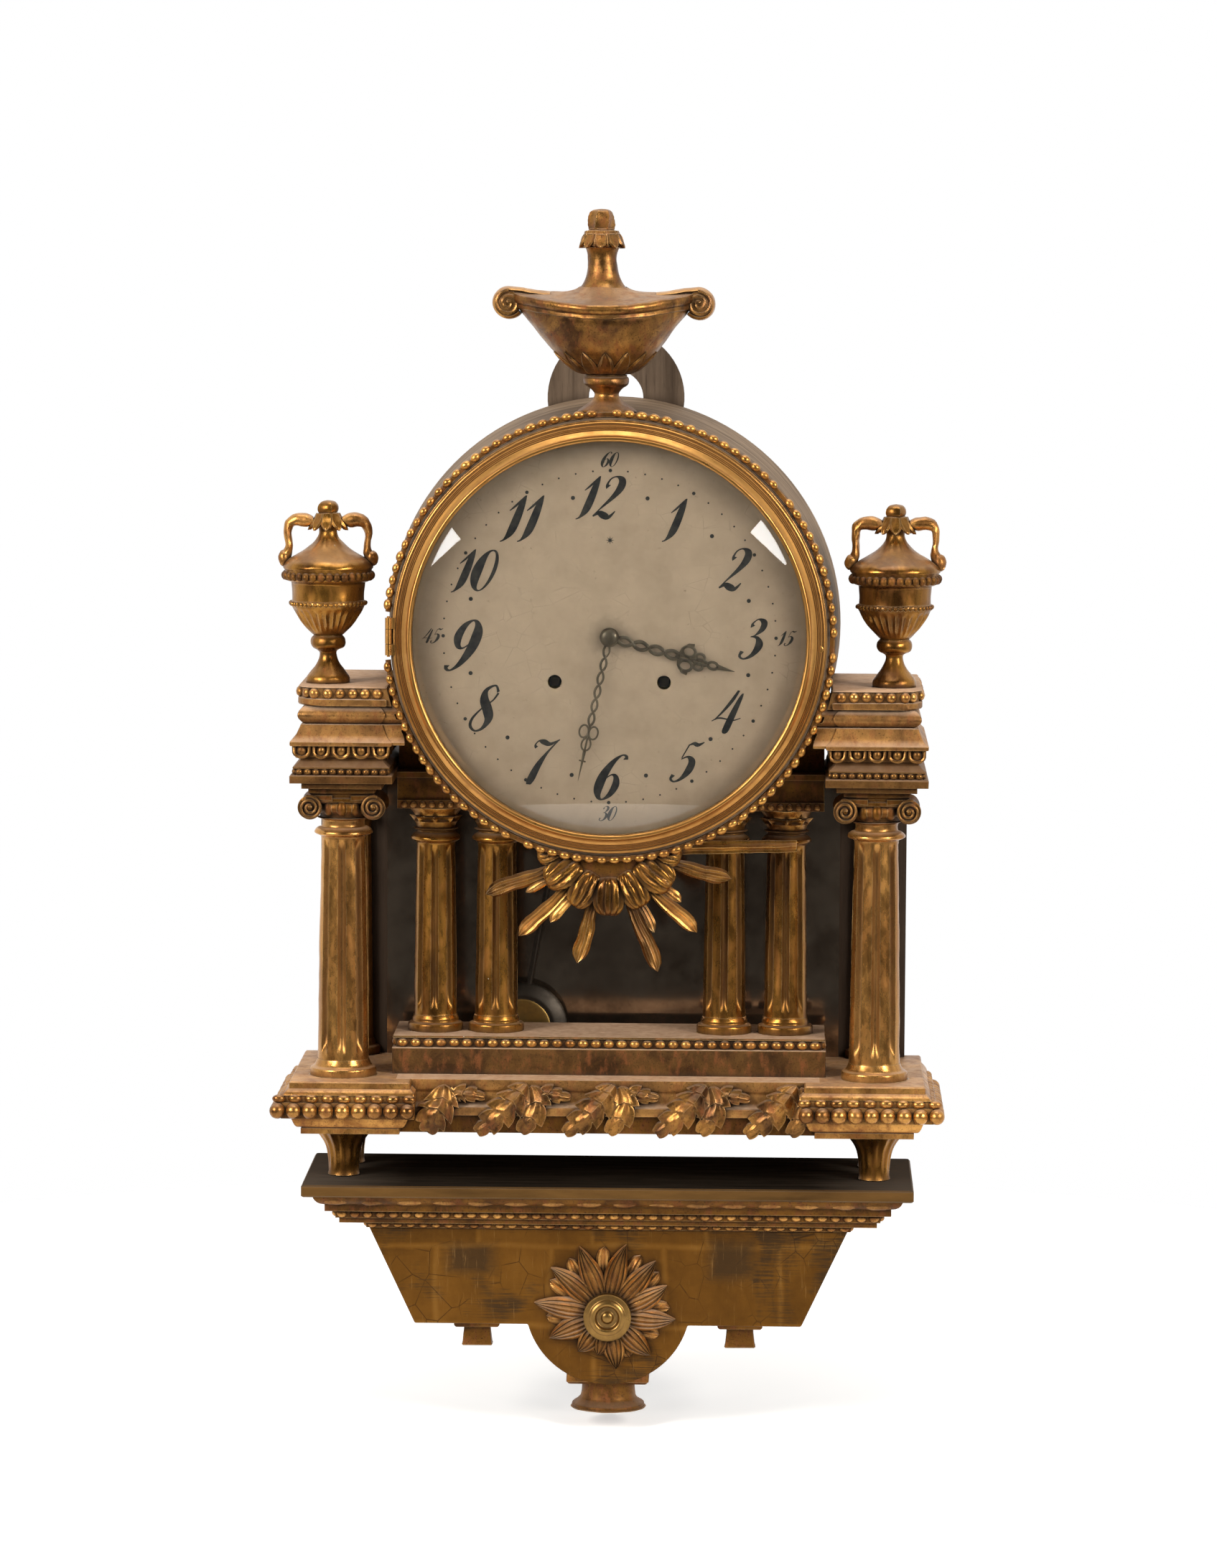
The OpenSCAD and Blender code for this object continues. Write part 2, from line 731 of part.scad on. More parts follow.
module block_slab() {
    x1 = block_outer_x - slab_setback;
    front = block_depth - slab_setback;
    linear_extrude(slab_h) {
        translate([block_inner_x, -front]) square([block_w - slab_setback - slab_corner_r, front]);
        translate([x1 - slab_corner_r - weld, -front + slab_corner_r])
            square([slab_corner_r + weld, front - slab_corner_r]);
        translate([x1 - slab_corner_r, -front + slab_corner_r]) circle(r = slab_corner_r);
    }
}

module entablature_blocks() {
    color(gilt) difference() {
        both_sides() {
            for (i = [0 : len(block_steps) - 1]) {
                step = block_steps[i];
                z = block_z + total(block_steps, i);
                block(block_inner_x + step[1], block_outer_x - step[1], 0, block_depth - step[2],
                    z, z + step[0] + weld);
            }
            translate([0, 0, slab_z]) block_slab();
        }
        drum_envelope(seat_gap);
    }
}

beam_back = 38;
beam_front = 86;
frieze_h = 28;
frieze_front = 66;
module entablature_beam() {
    beam_half = block_inner_x - seat_gap;
    color(dull_gilt) difference() {
        union() {
            for (i = [0 : len(beam_steps) - 1]) {
                step = beam_steps[i];
                z = beam_z + total(beam_steps, i);
                slab(beam_half - step[1], beam_back, beam_front - step[1], z, z + step[0] + weld);
            }
            beam_top_z = beam_z + total(beam_steps, len(beam_steps));
            slab(beam_half - 2, beam_back, frieze_front, beam_top_z, beam_top_z + frieze_h);
        }
        drum_envelope(seat_gap);
    }
}

// Urns and finial

// The height at which the profile below is drawn; the body takes up a change of urn_h
urn_drawn_h = 118;
module side_urns() {
    top = urn_h - urn_drawn_h;
    color(gilt) both_sides() turned(urn_x, urn_depth, slab_top_z, [
        [0, 0], [13.5, 0], [13.5, 3], [9, 7], [6, 13], [5.3, 19], [8, 22], [11, 24], [11, 30], [8, 32.5],
        [13, 35], [19, 40], [22.5, 45], [24, 49], [24.5, 52], [23.5, 55], [23.5, 66 + top], [28, 67.5 + top],
        [30, 70 + top], [30, 75 + top], [28, 78 + top], [22, 83 + top], [12, 90 + top], [6, 95 + top],
        [4.5, 98 + top], [9, 100 + top], [11, 103 + top], [10, 107 + top], [6.5, 109.5 + top],
        [7, 114 + top], [4, 117.5 + top], [0, 118 + top]
    ]);
}

// A strap handle from the collar of the lid down to the rim, drawn on its own side
handle_w = 6;
handle_reach = 27;
module handle() {
    sheet(urn_depth - handle_w / 2, urn_depth + handle_w / 2) polygon([
        [11.6, 101.5], [18, 104.5], [handle_reach - 4, 103], [handle_reach - 3.5, 98], [handle_reach - 4, 86],
        [handle_reach - 1.5, 81], [handle_reach + 2, 81], [handle_reach, 88], [handle_reach, 103],
        [handle_reach - 3, 107.5], [18, 108.5], [11.6, 105]
    ]);
}

module urn_handles() {
    color(gilt) both_sides() translate([urn_x, 0, slab_top_z + urn_h - urn_drawn_h]) both_sides() handle();
}

finial_z = drum_z + drum_r(urn_depth);
rim_r = 48;
finial_drawn_h = 129.3;
module lamp_finial() {
    top = finial_h - finial_drawn_h;
    color(gilt) difference() {
        turned(0, urn_depth, finial_z, [
            [0, -3], [19, -3], [19, 2.5], [14, 5], [8.25, 9.5], [8.25, 12], [13, 17], [14, 18.5], [14, 22],
            [12.5, 24], [14.5, 25], [24, 29], [33, 36.5], [40, 47], [45, 58], [rim_r, 69], [rim_r, 72],
            [42, 74], [24, 77], [14, 80], [10.5, 86], [9.5, 94], [9.5, 100 + top], [11, 105 + top],
            [13.5, 108 + top], [13.5, 115 + top], [8, 117.5 + top], [8.5, 124 + top], [5, 128 + top],
            [0, 129.3 + top]
        ]);
        drum_envelope(seat_gap);
    }
}

scroll_r = 8.7;
scroll_reach = 70;
scroll_w = 18;
module finial_scrolls() {
    scroll_at = [scroll_reach - scroll_r, finial_z + 69.5];
    color(gilt) both_sides() difference() {
        union() {
            bar_y(scroll_at, urn_depth - scroll_w / 2, urn_depth + scroll_w / 2, scroll_r);
            block(rim_r - 4, scroll_at[0], urn_depth - scroll_w / 2, urn_depth + scroll_w / 2,
                finial_z + 66, scroll_at[1] + scroll_r);
        }
        translate([0, -urn_depth, finial_z]) cylinder(h = 2 * finial_h, r = rim_r + seat_gap);
    }
}

// Drum

module drum_shell() {
    color(bare_wood) difference() {
        turned_y([0, drum_z], [
            [drum_bore_r, backboard_t], [drum_r(backboard_t), backboard_t], [drum_r(ring_back), ring_back],
            [drum_bore_r, ring_back]
        ]);
        slab(drum_slot_half, pendulum_depth - drum_slot_room, pendulum_depth + drum_slot_room,
            drum_z - drum_back_r - cut, drum_z - drum_bore_r / 2);
    }
}

module drum_front_ring() {
    color(bare_wood) difference() {
        turned_y([0, drum_z], [
            [dial_seat_r, ring_back], [drum_r(ring_back), ring_back], [drum_front_r, drum_depth],
            [dial_r + dial_gap, drum_depth], [dial_r + dial_gap, dial_back], [dial_seat_r, dial_back]
        ]);
        bar_y([catch_x, drum_z], drum_depth - catch_l - cut, drum_depth + cut, catch_r + pass_gap);
    }
}

// The row of beads round the drum, cut away at the hinge
bead_ring_back = drum_depth - 2.5;
bead_ring_front = drum_depth + 2.2;
module bead_ring() {
    color(gilt) difference() {
        turned_y([0, drum_z], [
            [bead_ring_in, bead_ring_back], [bead_ring_out - 1, bead_ring_back],
            [bead_ring_out, drum_depth - 1.2], [bead_ring_out, drum_depth + 1],
            [bead_ring_out - 1, bead_ring_front], [bead_ring_in, bead_ring_front]
        ]);
        block(-hinge_x - 2 * hinge_r, -bezel_r + hinge_r, bead_ring_back - cut, bead_ring_front + cut,
            drum_z - hinge_half - 1, drum_z + hinge_half + 1);
    }
}

// The garland of buds under the drum and the rays behind it
garland_drop = 137;
garland_z = drum_z - garland_drop;
garland_setback = 10;
garland_back = drum_depth - garland_setback;
garland_t = 5;
hub_r = 19;
bud_r = 10.5;
bud_ring_r = 29;
bud_count = 7;
bud_t = 7;
module garland() {
    color(gilt) difference() {
        union() {
            sheet(garland_back, garland_back + garland_t) translate([0, garland_z]) circle(r = hub_r);
            for (i = [0 : bud_count - 1]) {
                turn = 180 + i * 180 / (bud_count - 1);
                bar_y([bud_ring_r * cos(turn), garland_z + bud_ring_r * sin(turn)],
                    garland_back, garland_back + bud_t, bud_r);
            }
        }
        drum_envelope(seat_gap);
    }
}

// Each ray is its turn from the horizontal and its length from the middle of the garland
rays = [[-159, 85], [-135, 81.5], [-105, 77.6], [-68, 86.2], [-43.5, 78.5], [-14, 81.5]];
ray_t = 4;
ray_root_w = 5;
ray_end_w = 12;
ray_point = 8;
ray_start = 22;
long_ray_x = 123.6;
long_ray_rise = 5.6;
long_ray_bend = [44, -3.5];
module ray(length) {
    polygon([
        [ray_start, -ray_root_w / 2], [length - ray_point, -ray_end_w / 2], [length, -1.5], [length, 1.5],
        [length - ray_point, ray_end_w / 2], [ray_start, ray_root_w / 2]
    ]);
}

module long_ray() {
    strip([0, 2 * long_ray_bend[1]], long_ray_bend, ray_root_w);
    strip(long_ray_bend - [1, 0], [long_ray_x, long_ray_rise], ray_root_w + 1);
}

module sun_rays() {
    color(gilt) difference() {
        sheet(garland_back - ray_t, garland_back) translate([0, garland_z]) {
            circle(r = ray_start + 2);
            for (r = rays) rotate(r[0]) ray(r[1]);
            long_ray();
        }
        drum_envelope(seat_gap);
    }
}

// Bezel and dial

knuckle_low = hinge_leaf_half + knuckle_gap;
bezel_web_t = 2.5;
module bezel_knuckles() {
    for (side = [-1, 1]) {
        z = drum_z + (side > 0 ? knuckle_low : -hinge_half);
        translate([-hinge_x, -hinge_depth, z]) cylinder(h = hinge_half - knuckle_low, r = hinge_r);
        block(-hinge_x, -bezel_r + 2, hinge_depth - bezel_web_t / 2, hinge_depth + bezel_web_t / 2,
            z, z + hinge_half - knuckle_low);
    }
}

module bezel_ring() {
    color(brass) difference() {
        union() {
            turned_y([0, drum_z], [
                [glass_r + seat_gap, bezel_back], [bezel_r, bezel_back], [bezel_r, bezel_back + 4.5],
                [bezel_r - 1.4, bezel_back + 5.5], [bezel_r - 1.4, bezel_back + 6.5],
                [bezel_r - 2.2, bezel_back + 7.5], [bezel_r - 5, bezel_back + 8.5],
                [bezel_r - 8, bezel_back + 10.5], [bezel_open_r + 2.6, bezel_front],
                [bezel_open_r + 0.8, bezel_front], [bezel_open_r, bezel_front - 1],
                [bezel_open_r, glass_seat], [glass_r + seat_gap, glass_seat]
            ]);
            bezel_knuckles();
            bar_y([catch_x, drum_z], bezel_back - catch_l, bezel_back + weld, catch_r);
        }
        translate([-hinge_x, -hinge_depth, drum_z - hinge_half - cut])
            cylinder(h = 2 * hinge_half + 2 * cut, r = hinge_pin_r + pivot_gap);
    }
}

glass_steps = 16;
function dome(r) = glass_rise - sphere_r + sqrt(sphere_r * sphere_r - r * r);
function dome_points(edge_r, depth) =
    [for (i = [0 : glass_steps]) [edge_r * i / glass_steps, depth + dome(edge_r * i / glass_steps)]];
function reversed(list) = [for (i = [len(list) - 1 : -1 : 0]) list[i]];
module bezel_glass() {
    inner_r = dome_r - glass_t;
    color("#c8d4d8", 0.35) turned_y([0, drum_z], concat(
        [[glass_r, glass_seat - glass_t], [glass_r, glass_seat], [dome_r, glass_seat]],
        reversed(dome_points(dome_r, glass_seat)),
        dome_points(inner_r, glass_seat - glass_t),
        [[inner_r, glass_seat - glass_t]]
    ));
}

// The fixed leaf, its knuckle and the hinge pin
module bezel_hinge() {
    color(brass) {
        translate([-hinge_x, -hinge_depth, drum_z - hinge_leaf_half])
            cylinder(h = 2 * hinge_leaf_half, r = hinge_r);
        block(-hinge_x - hinge_r, -hinge_x + hinge_r - 0.2, drum_depth, hinge_depth,
            drum_z - hinge_leaf_half, drum_z + hinge_leaf_half);
        translate([-hinge_x, -hinge_depth, drum_z - hinge_half - cut])
            cylinder(h = 2 * hinge_half + 2 * cut, r = hinge_pin_r);
    }
}

dial_hole_r = 6;
module dial_plate() {
    color(painted) sheet(dial_back, dial_front) difference() {
        translate(centre_at) circle(r = dial_r);
        translate(centre_at) circle(r = dial_hole_r);
        translate(going_at) circle(r = winding_hole_r);
        translate(strike_at) circle(r = winding_hole_r);
    }
}

// A pierced hand on the dial's centre, with a pointed blade and a knot near its end
hand_w = 2.6;
hand_point = 8;
module hand(plane, turn, length, boss, bore, knot_at, knot_r) {
    knot = centre_at + knot_at * [sin(turn), cos(turn)];
    across = knot_r * 0.8 * [cos(turn), -sin(turn)];
    color("#3a3026") difference() {
        union() {
            bar_y(centre_at, plane, plane + hand_t, boss);
            sheet(plane, plane + hand_t) translate(centre_at) rotate(-turn) polygon([
                [-hand_w / 2, 0], [-hand_w / 3, length - hand_point], [0, length],
                [hand_w / 3, length - hand_point], [hand_w / 2, 0]
            ]);
            bar_y(knot, plane, plane + hand_t, knot_r);
            for (side = [-1, 1]) bar_y(knot + side * across, plane, plane + hand_t, knot_r * 0.5);
        }
        bar_y(centre_at, plane - cut, plane + hand_t + cut, bore);
        for (side = [-1, 1]) bar_y(knot + side * across, plane - cut, plane + hand_t + cut, knot_r * 0.22);
    }
}

module hour_hand() {
    hand(hour_hand_plane, hour_hand_turn, hour_hand_l, dial_hole_r, hour_pipe_r + pivot_gap,
        hour_hand_l * 0.62, 6);
}

module minute_hand() {
    hand(minute_hand_plane, minute_hand_turn, minute_hand_l, dial_hole_r - 1, cannon_r + pivot_gap,
        minute_hand_l * 0.72, 4);
}

nut_r = 6;
module hand_nut() {
    color("#3a3026") turned_y(centre_at, [
        [0, nut_plane], [nut_r, nut_plane], [nut_r, nut_plane + 1], [nut_r * 0.7, nut_plane + 2.6],
        [0, nut_plane + 3.2]
    ]);
}

// Movement

seat_board_t = 10;
seat_board_margin = 5;
module seat_board() {
    color(dark_wood) intersection() {
        slab(drum_bore_r, back_plate_back - seat_board_margin, front_plate_front + seat_board_margin / 2,
            plate_bottom_z - seat_board_t, plate_bottom_z);
        bar_y(centre_at, 0, drum_depth, drum_bore_r - seat_gap);
    }
}

module plate_outline() {
    difference() {
        translate([-plate_half_w, plate_bottom_z]) square([2 * plate_half_w, plate_top_z - plate_bottom_z]);
        for (at = [centre_at, third_at, escape_at, pin_at, hammer_at]) translate(at) circle(r = hole_r);
        children();
    }
}

post_l = 11;
module front_plate() {
    color(brass) {
        sheet(front_plate_back, front_plate_front) plate_outline() {
            for (at = [going_at, strike_at]) translate(at) circle(r = winding_r + pivot_gap);
            translate(anchor_at) circle(r = hole_r);
        }
        bar_y(minute_at, front_plate_front - weld, front_plate_front + post_l, post_r);
    }
}

anchor_clear_r = 4;
module back_plate() {
    color(brass) sheet(back_plate_back, back_plate_front) plate_outline() {
        for (at = [going_at, strike_at]) translate(at) circle(r = hole_r);
        translate(anchor_at) circle(r = anchor_clear_r);
    }
}

module plate_pillars() {
    color(brass) both_sides() for (z = [pillar_low_z, pillar_high_z])
        bar_y([pillar_x, z], back_plate_front, front_plate_back, pillar_r);
}

// Straight-sided teeth, thin enough to run freely
addendum = 0.6;
dedendum = 0.9;
root_half = 0.22;
tip_half = 0.08;
module gear(teeth, m, turn) {
    pitch = 360 / teeth;
    tip_r = m * teeth / 2 + m * addendum;
    root_r = m * teeth / 2 - m * dedendum;
    tooth = [[root_r, -root_half], [tip_r, -tip_half], [tip_r, tip_half], [root_r, root_half]];
    polygon([
        for (i = [0 : teeth - 1]) for (edge = tooth)
            edge[0] * [cos(turn + (i + edge[1]) * pitch), sin(turn + (i + edge[1]) * pitch)]
    ]);
}

function mesh_m(a, b, teeth) = 2 * norm(b - a) / (teeth[0] + teeth[1]);
function mesh_turn(a, b) = atan2(b[1] - a[1], b[0] - a[0]);

// The wheel at a and the pinion at b of one pair, each with a tooth or a gap on the line between them
module mesh_wheel(a, b, teeth, plane, t) {
    sheet(plane, plane + t) translate(a) gear(teeth[0], mesh_m(a, b, teeth), mesh_turn(a, b));
}

module mesh_pinion(a, b, teeth, plane, t) {
    sheet(plane, plane + t) translate(b)
        gear(teeth[1], mesh_m(a, b, teeth), mesh_turn(b, a) + 180 / teeth[1]);
}

shoulder_gap = 0.3;
module arbor(at) {
    bar_y(at, back_plate_back, front_plate_front, pivot_r);
    bar_y(at, back_plate_front + shoulder_gap, front_plate_back - shoulder_gap, arbor_r);
}

module winding_arbor(at) {
    square_back = front_plate_front + 3;
    color(steel) {
        bar_y(at, back_plate_back, back_plate_front + cut, pivot_r);
        bar_y(at, back_plate_front + shoulder_gap, square_back, winding_r);
        sheet(square_back - weld, dial_back - 1) translate(at) square(winding_square, center = true);
    }
}

module going_winding_arbor() {
    winding_arbor(going_at);
}

module strike_winding_arbor() {
    winding_arbor(strike_at);
}

module going_barrel() {
    color(brass) difference() {
        union() {
            mesh_wheel(going_at, centre_at, great_teeth, great_plane, wheel_t);
            bar_y(going_at, great_plane - barrel_l, great_plane + weld, barrel_r);
        }
        bar_y(going_at, great_plane - barrel_l - cut, great_plane + wheel_t + cut, winding_r + pivot_gap);
    }
}

module strike_barrel() {
    color(brass) difference() {
        union() {
            mesh_wheel(strike_at, pin_at, strike_teeth, strike_plane, wheel_t);
            bar_y(strike_at, strike_plane + wheel_t - weld, strike_plane + wheel_t + barrel_l, barrel_r);
        }
        bar_y(strike_at, strike_plane - cut, strike_plane + barrel_l + 2 * wheel_t, winding_r + pivot_gap);
    }
}

pinion_t = 3;
module centre_arbor() {
    color(brass) {
        arbor(centre_at);
        bar_y(centre_at, front_plate_front - weld, nut_plane - 0.5, pivot_r);
        mesh_pinion(going_at, centre_at, great_teeth, great_plane - (pinion_t - wheel_t) / 2, pinion_t);
        mesh_wheel(centre_at, third_at, centre_teeth, centre_plane, wheel_t);
    }
}

module third_wheel() {
    color(brass) {
        arbor(third_at);
        mesh_pinion(centre_at, third_at, centre_teeth, centre_plane - (pinion_t - wheel_t) / 2, pinion_t);
        mesh_wheel(third_at, escape_at, third_teeth, third_plane, wheel_t);
    }
}

escape_root = 3;
module escape_wheel() {
    color(brass) {
        arbor(escape_at);
        mesh_pinion(third_at, escape_at, third_teeth, third_plane - (pinion_t - wheel_t) / 2, pinion_t);
        sheet(escape_plane, escape_plane + wheel_t) translate(escape_at) polygon([
            for (i = [0 : escape_teeth - 1]) for (edge = [[escape_r, 0], [escape_r - escape_root, 0.35]])
                edge[0] * [cos((i + edge[1]) * 360 / escape_teeth), sin((i + edge[1]) * 360 / escape_teeth)]
        ]);
    }
}

pin_wheel_r = 12;
pin_count = 8;
pin_r = 0.8;
module pin_wheel() {
    color(brass) {
        arbor(pin_at);
        mesh_pinion(strike_at, pin_at, strike_teeth, strike_plane - (pinion_t - wheel_t) / 2, pinion_t);
        bar_y(pin_at, pin_plane, pin_plane + wheel_t, pin_wheel_r);
        for (i = [0 : pin_count - 1]) {
            turn = i * 360 / pin_count;
            bar_y(pin_at + (pin_wheel_r - 2) * [cos(turn), sin(turn)], pin_plane + wheel_t - weld,
                pin_plane + wheel_t + 0.9, pin_r);
        }
    }
}

module cannon_pinion() {
    color(steel) difference() {
        union() {
            mesh_pinion(minute_at, centre_at, cannon_teeth, motion_plane, wheel_t);
            bar_y(centre_at, motion_plane, nut_plane, cannon_r);
        }
        bar_y(centre_at, motion_plane - cut, nut_plane + cut, hole_r);
    }
}

minute_sleeve_r = 2.9;
module minute_wheel() {
    color(brass) difference() {
        union() {
            mesh_wheel(minute_at, centre_at, cannon_teeth, motion_plane + 0.25, wheel_t - 0.5);
            bar_y(minute_at, motion_plane, hour_plane + pinion_t, minute_sleeve_r);
            mesh_pinion(centre_at, minute_at, hour_teeth, hour_plane - (pinion_t - wheel_t) / 2, pinion_t);
        }
        bar_y(minute_at, motion_plane - cut, hour_plane + pinion_t + cut, post_r + pivot_gap);
    }
}

module hour_wheel() {
    color(brass) difference() {
        union() {
            mesh_wheel(centre_at, minute_at, hour_teeth, hour_plane, wheel_t);
            bar_y(centre_at, hour_plane, hour_hand_plane + hand_t, hour_pipe_r);
        }
        bar_y(centre_at, hour_plane - cut, hour_hand_plane + hand_t + cut, cannon_r + pivot_gap);
    }
}

// Pieces that hang from the anchor's axis, at the pendulum's tilt
module hung() {
    translate([anchor_at[0], 0, anchor_at[1]]) rotate([0, pendulum_tilt, 0]) children();
}

pallet_x = 15;
pallet_drop = 9;
arm_w = 3;
crutch_l = 45;
crutch_setback = 10;
crutch_plane = back_plate_back - crutch_setback;
crutch_t = 3;
anchor_hub_r = 4;
cock_lug_setback = 15;
cock_lug_plane = back_plate_back - cock_lug_setback;
cock_lug_t = 2.5;
fork_w = 1.6;
module anchor() {
    fork_x = rod_r + pass_gap;
    color(steel) {
        bar_y(anchor_at, cock_lug_plane, front_plate_front, pivot_r);
        bar_y(anchor_at, cock_lug_plane + cock_lug_t + shoulder_gap, front_plate_back - shoulder_gap,
            arbor_r);
        hung() {
            sheet(escape_plane, escape_plane + wheel_t) {
                circle(r = anchor_hub_r);
                for (side = [-1, 1]) polygon([
                    [0, arm_w / 2], [side * pallet_x, -pallet_drop + arm_w / 2],
                    [side * pallet_x, -pallet_drop - arm_w / 2], [0, -arm_w / 2]
                ]);
            }
            sheet(crutch_plane, crutch_plane + crutch_t) {
                circle(r = anchor_hub_r);
                translate([-arm_w / 2, -crutch_l]) square([arm_w, crutch_l]);
                translate([-fork_x - fork_w, -crutch_l - arm_w])
                    square([2 * fork_x + 2 * fork_w, arm_w + weld]);
            }
            both_sides() block(fork_x, fork_x + fork_w, pendulum_depth - rod_r - 2, crutch_plane + weld,
                -crutch_l - arm_w, -crutch_l);
        }
    }
}

cock_half = 6;
cock_h = 6;
cock_rise = 5;
lug_half = 4;
eye_l = 8;
eye_outer_r = 4;
lug_gap = 0.6;
module back_cock() {
    lug_front = pendulum_depth + eye_l / 2 + lug_gap;
    lug_back = pendulum_depth - eye_l / 2 - lug_gap;
    lug_z = anchor_at[1] + cock_rise + weld;
    color(brass) {
        slab(cock_half, lug_back - cock_lug_t, back_plate_back,
            anchor_at[1] + cock_rise, anchor_at[1] + cock_rise + cock_h);
        difference() {
            slab(lug_half, cock_lug_plane, cock_lug_plane + cock_lug_t, anchor_at[1] - lug_half, lug_z);
            bar_y(anchor_at, cock_lug_plane - cut, cock_lug_plane + cock_lug_t + cut, hole_r);
        }
        slab(lug_half, lug_front, lug_front + cock_lug_t, anchor_at[1] - lug_half, lug_z);
        slab(lug_half, lug_back - cock_lug_t, lug_back, anchor_at[1] - lug_half, lug_z);
        bar_y(anchor_at, lug_back - weld, lug_front + weld, pivot_r);
    }
}

rod_end = pendulum_l + bob_r + 0.5;
module pendulum_rod() {
    color(steel) hung() difference() {
        union() {
            bar_y([0, 0], pendulum_depth - eye_l / 2, pendulum_depth + eye_l / 2, eye_outer_r);
            translate([0, -pendulum_depth, -rod_end - weld]) cylinder(h = rod_end - hole_r, r = rod_r);
            translate([0, -pendulum_depth, -rod_end - rating_nut_h])
                cylinder(h = rating_nut_h, r = eye_outer_r);
        }
        bar_y([0, 0], 0, 2 * pendulum_depth, hole_r);
    }
}

bob_edge_t = 3;
bob_flat_share = 0.6;
module pendulum_bob() {
    half = bob_t / 2;
    color(brass) hung() difference() {
        turned_y([0, -pendulum_l], [
            [0, pendulum_depth - half], [bob_r * bob_flat_share, pendulum_depth - half],
            [bob_r, pendulum_depth - bob_edge_t / 2], [bob_r, pendulum_depth + bob_edge_t / 2],
            [bob_r * bob_flat_share, pendulum_depth + half], [0, pendulum_depth + half]
        ]);
        translate([0, -pendulum_depth, -pendulum_l - bob_r - cut])
            cylinder(h = 2 * bob_r + 2 * cut, r = rod_r + pivot_gap);
    }
}

bell_x = 30;
bell_room = 23;
bell_depth = back_plate_front + bell_room;
bell_z = plate_top_z + 6;
bell_h = 20.5;
bell_t = 2;
bell_post_r = 4;
bell_bore_r = 3;
module bell() {
    color(brass) turned(bell_x, bell_depth, bell_z, [
        [bell_r, 0], [bell_r - 1, 8], [bell_r - 6, bell_h - 4.5], [bell_r * 0.4, bell_h - 0.5],
        [bell_bore_r, bell_h],
        [bell_bore_r, bell_h - bell_t], [bell_r * 0.38, bell_h - bell_t - 0.5], [bell_r - 7.5, bell_h - 6],
        [bell_r - 3, 7.5], [bell_r - bell_t, 0]
    ]);
}

stand_bar = 4;
module bell_stand() {
    bar_z = pillar_high_z - stand_bar / 2;
    color(steel) {
        block(bell_x - stand_bar / 2, bell_x + stand_bar / 2, back_plate_front, front_plate_back,
            bar_z, bar_z + stand_bar);
        turned(bell_x, bell_depth, bar_z + stand_bar - weld, [
            [0, 0], [bell_post_r, 0], [bell_post_r, bell_z + bell_h - bell_t - bar_z - stand_bar - 0.1],
            [bell_bore_r - pivot_gap, bell_z + bell_h - bell_t - bar_z - stand_bar - 0.1],
            [bell_bore_r - pivot_gap, bell_z + bell_h + 2 - bar_z - stand_bar],
            [0, bell_z + bell_h + 2 - bar_z - stand_bar]
        ]);
    }
}

// A flat strip from one point to another
module strip(from, to, w) {
    translate(from) rotate(mesh_turn(from, to)) translate([0, -w / 2]) square([norm(to - from), w]);
}

hammer_head_r = 4;
hammer_gap = 1.2;
hammer_tail = [-24, -52];
hammer_head_at = [bell_x - bell_r - hammer_head_r - hammer_gap, bell_z + hammer_head_r];
tail_plane = front_plate_back - 1.3;
module hammer() {
    color(steel) {
        arbor(hammer_at);
        bar_y(hammer_at, bell_depth - 2, bell_depth + 2, hammer_head_r);
        sheet(bell_depth - 1, bell_depth + 1) strip(hammer_at, hammer_head_at, arm_w);
        bar_y(hammer_head_at, bell_depth - 5, bell_depth + 5, hammer_head_r);
        sheet(tail_plane, tail_plane + 0.9) strip(hammer_at, hammer_at + hammer_tail, arm_w);
    }
}

// Everything is drawn by these lines

bracket_back_board();
bracket_shelf();
bracket_cornice();
bracket_front_panel();
bracket_box_boards();
bracket_rosette();
rosette_boss();
bracket_drops();
bracket_end_drop();
feet();
base_plinth();
plinth_pearls();
plinth_leaves();
inner_plinth();
front_columns();
ionic_capitals();
rear_half_columns();
inner_columns();
backboard();
mirror_glass();
entablature_blocks();
entablature_beam();
side_urns();
urn_handles();
lamp_finial();
finial_scrolls();
drum_shell();
drum_front_ring();
bead_ring();
garland();
sun_rays();
bezel_ring();
bezel_glass();
bezel_hinge();
dial_plate();
hour_hand();
minute_hand();
hand_nut();
seat_board();
front_plate();
back_plate();
plate_pillars();
going_barrel();
strike_barrel();
going_winding_arbor();
strike_winding_arbor();
centre_arbor();
third_wheel();
escape_wheel();
anchor();
back_cock();
cannon_pinion();
minute_wheel();
hour_wheel();
pin_wheel();
pendulum_rod();
pendulum_bob();
bell();
bell_stand();
hammer();
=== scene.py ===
"""Looks of a gilt cartel clock on its wall bracket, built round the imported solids.

Sizes are in millimetres: X to the right, D out from the wall (so D is -Y) and Z up.
"""

import math
import random
from math import cos, pi, radians, sin, sqrt, tau

import bmesh
import bpy
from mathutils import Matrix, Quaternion, Vector, noise


